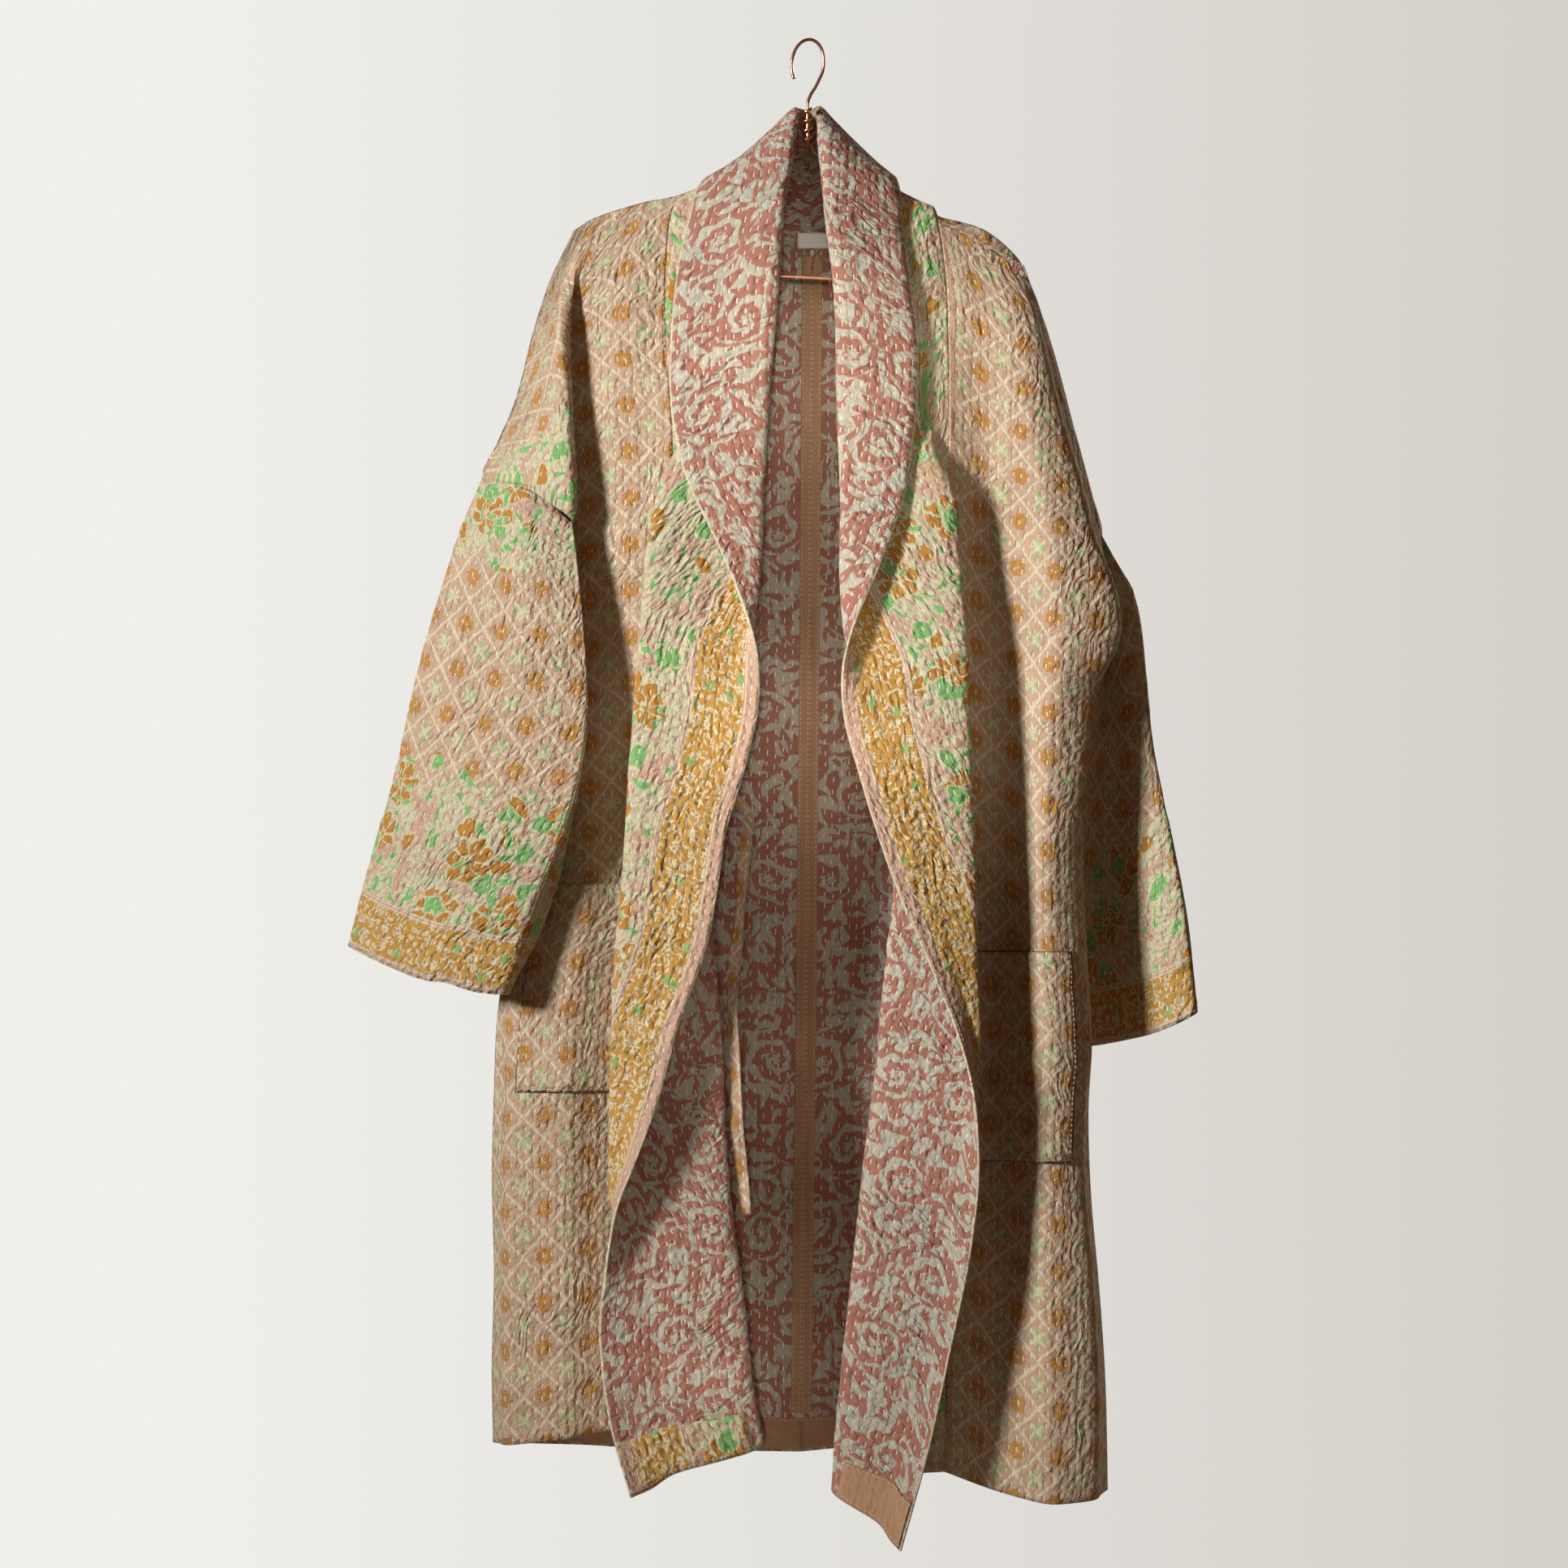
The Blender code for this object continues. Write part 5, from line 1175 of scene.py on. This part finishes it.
# Print of the sleeves, in metres up from the cuff, and the turn of their lattice in radians
CUFF_SELVEDGE, CUFF_GOLD_END = 0.0065, 0.047
SMALL_PRINT = (0.175, 0.375)
SLEEVE_TURN = 0.12


def sleeve_side(board, place):
    """Seen from the cuff upwards: selvedge, gold border, bouquets, then the turned lattice."""
    across_cut, up_cut = board.split(place)
    flowers = use_group(board, bouquet, Place=place)["Color"]
    small = lattice_print(board, place, SLEEVE_TURN)
    wavy = board.plus(up_cut, board.spread(board.noise(place, 40.0, 1.0), 0.09, -0.045))
    low, high = board.below(wavy, SMALL_PRINT[0], 0.002), board.below(wavy, SMALL_PRINT[1], 0.002)
    colour = board.paint(board.most(low, board.flip(high)), small, flowers)
    return striped(board, up_cut, colour, CUFF_SELVEDGE, CUFF_GOLD_END, place)


sleeve_print = cloth("sleeve_print", sleeve_side, 0.0017)

# Every seam has met, so the sewn panels can be made
LINED = (outer_print, reverse_print)
make_panel("front_left", front_left, front_left_n, 1, (cap_print, reverse_print))
make_panel("front_right", front_right, front_right_n, -1, (strip_print, reverse_print))
make_panel("back_left", back_left, back_left_n, -1, LINED)
make_panel("back_right", back_right, back_right_n, 1, LINED)
make_panel("sleeve_left", sleeve_left, sleeve_left_n, 1, (sleeve_print, reverse_print))
make_panel("sleeve_right", sleeve_right, sleeve_right_n, -1, (sleeve_print, reverse_print))

# Pockets, tape and facings
# Patch pockets of the outer print, a plain bound tape in two halves down the inside of the centre
# back, and facings inside the back hem and the ends of the bands, printed on the left band only.
LAY_GAP = 0.35
PUCKER_ROOM = 0.5
TAPE_WIDTH = 9.0
TAPE_MEET = 0.5
FACING_WIDTH = 60.0
FACING_INSET = 3.0
POCKET_COLUMN = 9
POCKET_SIDE = 38.0
POCKET_WIDTH = 122.0
POCKET_HEIGHT = 186.0
# Width of the painted shade along the pocket's edges, in metres
POCKET_EDGE_SHADE = 0.0011
LAID_PRINT = 0.5
FACING_PRINT = 0.003


def pocket_side(board, place):
    """The lattice, with painted shade in brown along the pocket's turned edges, which stand a little proud.
    """
    inside = []
    for run, size in zip(board.split(place), (POCKET_WIDTH * MM, POCKET_HEIGHT * MM)):
        from_middle = board.size(board.minus(run, LAID_PRINT + size / 2))
        inside.append(board.minus(size / 2, from_middle))
    # Painted shade: a brown band along the pocket's edges, where shade falls beside the proud turned edges
    edge = board.below(board.math("MINIMUM", *inside), POCKET_EDGE_SHADE, 0.0007)
    return board.paint(board.times(edge, 0.80), lattice_print(board, place), linear("5A3E28"))


def plain_side(board, place):
    return board.paint(board.noise(place, 300.0, 2.0), linear("BE9878"), linear("B08768"))


pocket_print = cloth("pocket_print", pocket_side, 0.0013)
plain_pink = cloth("plain_pink", plain_side, 0.0006, stitched=0.0)


def column_at(line, distance):
    """A fractional column at a distance along a row, from its end where it is negative."""
    run = np.concatenate([[0], np.cumsum(np.linalg.norm(line[1:] - line[:-1], axis=1))])
    place = distance if distance >= 0 else run[-1] + distance
    return float(np.interp(place, run, np.arange(len(run))))


def between(values, place):
    i = min(int(place), len(values) - 2)
    return values[i] * (i + 1 - place) + values[i + 1] * (place - i)


def patch(grid, normals, top, bottom, start, end, lift):
    """Points of a panel between two rows and two distances across, moved off it."""
    rows = [top] + [float(i) for i in range(len(grid)) if top + 0.2 < i < bottom - 0.2] + [bottom]
    lines = [(between(grid, row), between(normals, row)) for row in rows]
    starts = [column_at(line, start) for line, facing in lines]
    ends = [column_at(line, end) for line, facing in lines]
    inside = [float(j) for j in range(grid.shape[1])
              if max(starts) + 0.2 < j < min(ends) - 0.2]
    made = []
    turned = []
    for (line, facing), first, last in zip(lines, starts, ends):
        places = [first] + inside + [last]
        made.append([between(line, place) for place in places])
        turned.append([unit(between(facing, place)) for place in places])
    made = np.array(made)
    turned = np.array(turned)
    return made + turned * lift, turned


def lay_on(node, panel, heights, column, reach, side, thickness, materials, meet=0.0):
    """A flat piece laid on a panel's printed (side 1) or reverse (side -1) face."""
    fine, fine_n = fine_of[panel]
    top, bottom = row_at(fine, column, heights[0]), row_at(fine, column, heights[1])
    lift = side * (THIN / 2 + PUCKER_ROOM * (side > 0) + LAY_GAP + thickness / 2)
    laid, facing = patch(fine, fine_n, top, bottom, reach[0], reach[1], lift)
    laid[:, 0, 0] += meet
    from_edge = materials[0] == band_print
    cut = cut_of(laid, from_edge) + (FACING_PRINT if from_edge else LAID_PRINT, LAID_PRINT)
    piece = shell(node + "_cloth", laid, facing, cut, thickness, materials)
    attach(piece, "root")
    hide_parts(node)
    return laid, facing


for side, top, bottom in (("left", -747, -930), ("right", -806, -992)):
    fine_of["pocket_" + side] = lay_on(
        "pocket_" + side, "front_" + side, (top, bottom), POCKET_COLUMN * ACROSS_FINE,
        (-POCKET_SIDE - POCKET_WIDTH, -POCKET_SIDE), 1, 1.6, (pocket_print, reverse_print))
for side, meet in (("left", TAPE_MEET), ("right", -TAPE_MEET)):
    fine_of["tape_" + side] = lay_on(
        "centre_back_tape_" + side, "back_" + side, (-186, -1222), 0, (0.0, TAPE_WIDTH), -1, 0.9,
        (plain_pink,), meet)
    fine_of["hem_" + side] = lay_on(
        "hem_facing_back_" + side, "back_" + side, (-1226, -1254), 0, (0.0, -FACING_WIDTH), -1,
        1.1, (plain_pink,), meet)
for side, top, bottom, wide, print_on_it in (("left", -1196, -1225.5, 117.0, band_print),
                                             ("right", -1234, -1263.5, 75.0, plain_pink)):
    fine_of["facing_" + side] = lay_on(
        "hem_facing_front_" + side, "band_" + side, (top, bottom), 0, (-wide, -FACING_INSET), -1, 1.1,
        (print_on_it,))

# Inner tie
# A narrow flat self-fabric strip sewn inside the left band, twisting as it hangs free.
TIE_WIDTH = 11.0
TIE_THICK = 1.6
TIE_STEP = 6.0
TIE_SHARES = (0, 0.08, 0.3, 0.5, 0.7, 0.92, 1)
# Places down it, and the way it faces across
TIE = [((-74, -86.8, -663), (1, 0, 0)), ((-62, -80, -672), (1, 0, 0.3)),
       ((-53, -74, -684), (0.9, -0.4, 0)), ((-55, -68, -720), (0.9, 0.4, 0)),
       ((-58, -64, -765), (0.6, 0.8, 0)), ((-63, -62, -815), (0.9, 0.3, 0)),
       ((-65, -60, -845), (0.7, -0.7, 0)), ((-63, -58, -900), (0.8, -0.6, 0)),
       ((-61, -57, -960), (1, 0, 0)), ((-56, -56, -1010), (1, -0.2, 0)),
       ((-54, -56, -1036), (1, -0.3, 0))]
middle = np.array([place for place, way in TIE], float)
ways = np.array([unit(np.array(way, float)) for place, way in TIE])
edges = np.stack([middle - ways * TIE_WIDTH / 2, middle + ways * TIE_WIDTH / 2], axis=1)
rows = along(edges, TIE_STEP)
tie_grid = np.stack([rows[:, 0] * (1 - share) + rows[:, 1] * share for share in TIE_SHARES], axis=1)
tie_n = normals_of(tie_grid, 1)
tie = shell("tie_cloth", tie_grid, tie_n, cut_of(tie_grid, False), TIE_THICK, (outer_print,))
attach(tie, "root")
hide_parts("tie")

# Neck label
# A small blank woven tab, sewn flat to the inside of the back neck.
LABEL = (-8.0, 40.6, -166.0)
LABEL_CURVE = 0.0022
LABEL_MIDDLE = 5
LABEL_WIDTH = 44.0
LABEL_HEIGHT = 14.0
LABEL_THICK = 0.6


def plain_material(name, colour, roughness, metallic=0.0):
    material = bpy.data.materials.new(name)
    material.use_nodes = True
    shader = material.node_tree.nodes["Principled BSDF"]
    shader.inputs["Base Color"].default_value = (*colour, 1)
    shader.inputs["Roughness"].default_value = roughness
    shader.inputs["Metallic"].default_value = metallic
    return material


label_white = plain_material("label_white", (0.93, 0.92, 0.88), 0.8)
label_x, label_y, label_z = LABEL
label_grid = np.array([[(x, label_y - LABEL_CURVE * (x - LABEL_MIDDLE) ** 2, z)
                        for x in np.linspace(label_x, label_x + LABEL_WIDTH, 24)]
                       for z in np.linspace(label_z, label_z - LABEL_HEIGHT, 9)])
label_n = normals_of(label_grid, -1)
label = shell("neck_label_cloth", label_grid, label_n, cut_of(label_grid, False), LABEL_THICK,
              (label_white,))
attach(label, "root")
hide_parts("neck_label")

# Wire hanger
# Copper-plated wire: an open hook whose neck is wrapped by one arm, two sloped arms and a bar.
WIRE = 1.4
HOOK_INNER = 20.0
HOOK_TURN = math.radians(48)
HOOK_MIDDLE = 1.0
HOOK_START = 212
HOOK_END = -38
HOOK_PARTS = 60
HOOK_FOOT = [(10.5, -21.5), (4.0, -28.0), (0.6, -33.5), (0.0, -40.0), (0.0, -78.0)]
TWIST_TOP = -60.0
TWIST_TURNS = 4
TWIST_CLEARANCE = 0.35
TWIST_FOOT = -93.5
TWIST_PARTS = 24
END_SHARE = 0.55
END_REACH = 0.105
# Arms and bar, as places across and heights
ARM_LEFT = [(-1.9, -99.5), (-30, -109), (-62, -126), (-102, -142), (-123, -147), (-155, -156),
            (-180, -167), (-194, -176), (-199.5, -184), (-200, -191), (-197, -196.5), (-192, -198)]
ARM_RIGHT = [(5.4, -99), (32, -115), (62, -133), (104, -156), (123, -167), (155, -182),
             (172, -192), (180, -199), (183, -207), (182, -213.5), (178.5, -218), (174, -219.1)]
BAR = [(-191.5, -198.03), (-90, -204.5), (0, -209.6), (90, -214.8), (173.5, -219.1)]
copper = plain_material("copper", (0.80, 0.42, 0.26), 0.28, 1.0)


def wire(node, path, sides=14):
    """A round wire along a path, with its two ends a little rounded."""
    path = np.asarray(path, float)
    tangents = np.gradient(path, axis=0)
    up = np.array([0.0, 1.0, 0.0])
    last = len(path) - 1
    rings = [(0, END_SHARE, -END_REACH)] + [(i, 1.0, 0.0) for i in range(last + 1)]
    rings.append((last, END_SHARE, END_REACH))
    points, faces = [], []
    for i, share, reach in rings:
        tangent = unit(tangents[i])
        up = unit(up - tangent * np.dot(up, tangent))
        side = np.cross(tangent, up)
        for k in range(sides):
            angle = 2 * math.pi * k / sides
            ring = WIRE * share * (math.cos(angle) * up + math.sin(angle) * side)
            points.append((path[i] + tangent * reach + ring) * MM)
    for i in range(len(rings) - 1):
        for k in range(sides):
            a, b = i * sides + k, i * sides + (k + 1) % sides
            faces.append((a, b, b + sides, a + sides))
    faces.append(tuple(range(sides - 1, -1, -1)))
    faces.append(tuple((len(rings) - 1) * sides + k for k in range(sides)))
    mesh = bpy.data.meshes.new(node)
    mesh.from_pydata([tuple(point) for point in np.array(points).tolist()], [], faces)
    mesh.materials.append(copper)
    mesh.shade_smooth()
    made = bpy.data.objects.new(node + "_wire", mesh)
    bpy.context.scene.collection.objects.link(made)
    solid = bmesh.new()
    solid.from_mesh(mesh)
    bmesh.ops.recalc_face_normals(solid, faces=solid.faces)
    solid.to_mesh(mesh)
    solid.free()
    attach(made, "root")
    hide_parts(node)


def smooth_line(points, parts):
    return across(points, [tuple(k / parts for k in range(parts))] * (len(points) - 1))


def flat_line(line):
    """A smooth line through places in the hanger's plane."""
    return smooth_line([(x, 0.0, z) for x, z in line], 6)


hook = []
for k in range(HOOK_PARTS + 1):
    angle = math.radians(HOOK_START - k * (HOOK_START - HOOK_END) / HOOK_PARTS)
    hook.append(((HOOK_INNER + WIRE) * math.cos(angle), (HOOK_INNER + WIRE) * math.sin(angle)))
foot = smooth_line([(x, z, 0.0) for x, z in hook[-2:-1] + HOOK_FOOT], 5)
hook = hook[:-1] + [(x, z) for x, z, nothing in foot]
wire("hanger_hook", [(HOOK_MIDDLE + s * math.cos(HOOK_TURN), -s * math.sin(HOOK_TURN), z - HOOK_INNER)
                     for s, z in hook])
wire("hanger_arm_left", flat_line(ARM_LEFT))
twist = []
reach = 2 * WIRE + TWIST_CLEARANCE
for k in range(TWIST_TURNS * TWIST_PARTS + 1):
    angle = 2 * math.pi * k / TWIST_PARTS
    height = TWIST_TOP + (TWIST_FOOT - TWIST_TOP) * k / (TWIST_TURNS * TWIST_PARTS)
    twist.append((HOOK_MIDDLE + reach * math.cos(angle), -reach * math.sin(angle), height))
wire("hanger_arm_right", twist + [tuple(place) for place in flat_line(ARM_RIGHT)])
wire("hanger_bar", flat_line(BAR))

# Seam stitching
# Running stitches in a thick pale thread: down the tape, beside the band seams, round the pockets
# and along the facings and hems. Each line lies on the cloth's own surface.
POCKET_SEAM = 2.5
POCKET_HEM = {"left": 3.0, "right": 28.0}
STITCH = {"Step": 0.0046, "Length": 0.0034, "Width": 0.00062, "Seed": 7}

thread = plain_material("thread", linear("D8C7AC")[:3], 0.75)
board = Board(thread.node_tree)
shader = thread.node_tree.nodes["Principled BSDF"]
spun = board.noise(board.add("ShaderNodeTexCoord").outputs["Object"], 900.0, 1.0, "3D")
board.link(board.paint(spun, linear("D8C7AC"), linear("EADFCB")), shader.inputs["Base Color"])
shader.inputs["Sheen Weight"].default_value = 0.1


def sewn(grid, facing, distance, lift):
    """A line on a piece, one point a row, at a distance from each row's start, or its end if below 0."""
    line = []
    for row, turned in zip(grid, facing):
        place = column_at(row, distance)
        line.append(between(row, place) + unit(between(turned, place)) * lift)
    return line


def down(piece, distance, lift, first=0.0, last=1.0):
    """A line down a piece, between two shares of its length."""
    grid, facing = fine_of[piece]
    rows = slice(int(first * (len(grid) - 1)), int(last * (len(grid) - 1)) + 1)
    return sewn(grid[rows], facing[rows], distance, lift)


def over(piece, distance, lift, margin=0.0):
    """A line across a piece, ending a margin from its two sides."""
    grid, facing = fine_of[piece]
    line = sewn(grid.swapaxes(0, 1), facing.swapaxes(0, 1), distance, lift)
    run = np.cumsum([0] + [np.linalg.norm(b - a) for a, b in zip(line, line[1:])])
    return [point for point, gone in zip(line, run) if margin <= gone <= run[-1] - margin]


lines = []
for side in ("left", "right"):
    for way, piece, distance, lift, *ends in (
            (down, "tape_", 1.3, -0.55), (down, "tape_", TAPE_WIDTH - 1.3, -0.55),
            (over, "hem_", 1.8, -0.65), (over, "facing_", 1.8, -0.65),
            (over, "facing_", -FACING_INSET, -0.65),
            (down, "front_", 1.6, THIN / 2 + 0.25, 0.02, 0.99),
            (down, "front_", 6.4, THIN / 2 + 0.25, 0.02, 0.99),
            (down, "pocket_", POCKET_SEAM, 0.95, 0.0, 0.985),
            (down, "pocket_", -POCKET_SEAM, 0.95, 0.0, 0.985),
            (over, "pocket_", -POCKET_SEAM, 0.95, POCKET_SEAM),
            (over, "pocket_", POCKET_HEM[side], 0.95, POCKET_SEAM),
            (down, "band_", -3.0, THIN / 2 + 0.15),
            (over, "front_", -12.0, THIN / 2 + 0.15, 4.0),
            (over, "sleeve_", -3.2, THIN / 2 + 0.15)):
        lines.append(way(piece + side, distance, lift, *ends))

# Each stitch is a narrow bead along its line, a little longer or shorter at random
group = bpy.data.node_groups.new("running_stitch", "GeometryNodeTree")
for label, kind in (("Geometry", "NodeSocketGeometry"), ("Step", FLOAT), ("Length", FLOAT),
                    ("Width", FLOAT), ("Seed", "NodeSocketInt"), ("Material", "NodeSocketMaterial")):
    group.interface.new_socket(label, in_out="INPUT", socket_type=kind)
group.interface.new_socket("Geometry", in_out="OUTPUT", socket_type="NodeSocketGeometry")
board = Board(group)
given = group.nodes.new("NodeGroupInput").outputs
curve = board.add("GeometryNodeMeshToCurve", [(0, given["Geometry"])]).outputs[0]
even = board.add("GeometryNodeResampleCurve", [("Curve", curve), ("Length", given["Step"])],
                 mode="LENGTH").outputs[0]
tangent = board.add("GeometryNodeInputTangent").outputs[0]
turn = board.add("FunctionNodeAlignRotationToVector", [("Vector", tangent)], axis="Z").outputs[0]
vary = board.add("FunctionNodeRandomValue", [(2, 0.75), (3, 1.12), ("Seed", given["Seed"])],
                 data_type="FLOAT").outputs[1]
half_width = board.times(given["Width"], 0.5)
size = board.join(half_width, half_width, board.times(board.times(given["Length"], 0.5), vary))
bead = board.add("GeometryNodeMeshUVSphere", [("Segments", 6), ("Rings", 4), ("Radius", 1.0)]).outputs[0]
placed = board.add("GeometryNodeInstanceOnPoints", [
    ("Points", even), ("Instance", bead), ("Rotation", turn), ("Scale", size)]).outputs[0]
real = board.add("GeometryNodeRealizeInstances", [(0, placed)]).outputs[0]
smooth = board.add("GeometryNodeSetShadeSmooth", [(0, real)]).outputs[0]
coated = board.add("GeometryNodeSetMaterial", [(0, smooth), ("Material", given["Material"])]).outputs[0]
board.link(coated, group.nodes.new("NodeGroupOutput").inputs[0])

points, edges = [], []
for line in lines:
    edges += [(len(points) + k, len(points) + k + 1) for k in range(len(line) - 1)]
    points += [tuple((point * MM).tolist()) for point in line]
mesh = bpy.data.meshes.new("seam_lines")
mesh.from_pydata(points, edges, [])
stitching = bpy.data.objects.new("seam_stitching", mesh)
bpy.context.scene.collection.objects.link(stitching)
sewing = stitching.modifiers.new("running stitch", "NODES")
sewing.node_group = group
chosen = {**STITCH, "Material": thread}
for item in group.interface.items_tree:
    if item.in_out == "INPUT" and item.name in chosen:
        sewing[item.identifier] = chosen[item.name]
bpy.context.view_layer.update()
sewn_mesh = bpy.data.meshes.new_from_object(
    stitching.evaluated_get(bpy.context.evaluated_depsgraph_get()))
stitching.modifiers.clear()
stitching.data = sewn_mesh
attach(stitching, "root")

# Surroundings
# A plain pale floor below the hanging coat, pale paper behind it with painted shade that makes it a
# little darker away from the window, and the soft light of a large window at the left.
FLOOR_HALF = (1.3, 1.2)
FLOOR_HEIGHT = -1.62
PAPER_SHADE_SPAN = (-0.11, 0.14)

corners = [(x * FLOOR_HALF[0], y * FLOOR_HALF[1], FLOOR_HEIGHT)
           for x, y in ((-1, -1), (1, -1), (1, 1), (-1, 1))]
floor_mesh = bpy.data.meshes.new("floor")
floor_mesh.from_pydata(corners, [], [(0, 1, 2, 3)])
floor_mesh.materials.append(plain_material("pale_floor", (0.80, 0.79, 0.77), 0.9))
floor = bpy.data.objects.new("floor", floor_mesh)
bpy.context.scene.collection.objects.link(floor)
world = bpy.data.worlds.new("world")
bpy.context.scene.world = world
world.use_nodes = True
board = Board(world.node_tree)
soft = world.node_tree.nodes["Background"]
soft.inputs["Color"].default_value = (1.0, 0.50, 0.23, 1)
soft.inputs["Strength"].default_value = 0.052
across_view, into_view = board.split(board.add("ShaderNodeTexCoord").outputs["Generated"])
# Painted shade on the paper, seen only by the camera: its colour darkens from left to right across the view
share = board.add("ShaderNodeMapRange", [("Value", across_view), ("From Min", PAPER_SHADE_SPAN[0]),
                  ("From Max", PAPER_SHADE_SPAN[1])]).outputs[0]
paper_with_painted_shade = board.paint(share, (0.875, 0.868, 0.835, 1), (0.652, 0.622, 0.583, 1))
paper = board.add("ShaderNodeBackground", [("Color", paper_with_painted_shade)]).outputs[0]
seen = board.add("ShaderNodeLightPath").outputs["Is Camera Ray"]
blend = board.add("ShaderNodeMixShader", [(0, seen), (1, soft.outputs[0]), (2, paper)]).outputs[0]
board.link(blend, world.node_tree.nodes["World Output"].inputs["Surface"])
bpy.context.scene.view_settings.view_transform = "Standard"

# Each light: its place, where it aims in the coat's plane, its size in metres, power in watts,
# spread in degrees, and tint
GLOW = (1.0, 0.91, 0.80)
for name, place, aim, size, power, spread, tint in (
        ("key", (-4.50, -3.97, 0.93), (0.30, -0.50), 1.0, 13.1, 28, (1.0, 0.99, 0.965)),
        ("fill", (0.7, -4.2, 0.3), (0.0, -0.60), 2.4, 3.0, 180, (1.0, 0.63, 0.36)),
        ("rim", (3.6, -1.8, -0.2), (0.2, -0.60), 1.2, 3.6, 180, (1.0, 0.84, 0.68)),
        ("behind", (2.4, 3.2, 0.6), (0.05, -0.60), 1.2, 4.0, 45, (1.0, 0.93, 0.85)),
        ("glow_high", (-0.06, -4.0, -0.20), (0.0, -0.30), 0.2, 0.105, 5, GLOW),
        ("glow_middle", (-0.06, -4.0, -0.50), (0.0, -0.60), 0.2, 0.085, 5, GLOW),
        ("glow_low", (-0.10, -4.0, -0.80), (-0.05, -0.89), 0.2, 0.031, 4, GLOW),
        ("glow_foot", (-0.16, -4.0, -0.95), (-0.09, -1.16), 0.2, 0.042, 3.6, GLOW)):
    light_data = bpy.data.lights.new(name, "AREA")
    light_data.size = size
    light_data.energy = power
    light_data.color = tint
    light_data.spread = math.radians(spread)
    light = bpy.data.objects.new(name, light_data)
    light.location = place
    towards = Vector((aim[0], 0, aim[1])) - Vector(place)
    light.rotation_euler = towards.to_track_quat("-Z", "Y").to_euler()
    bpy.context.scene.collection.objects.link(light)
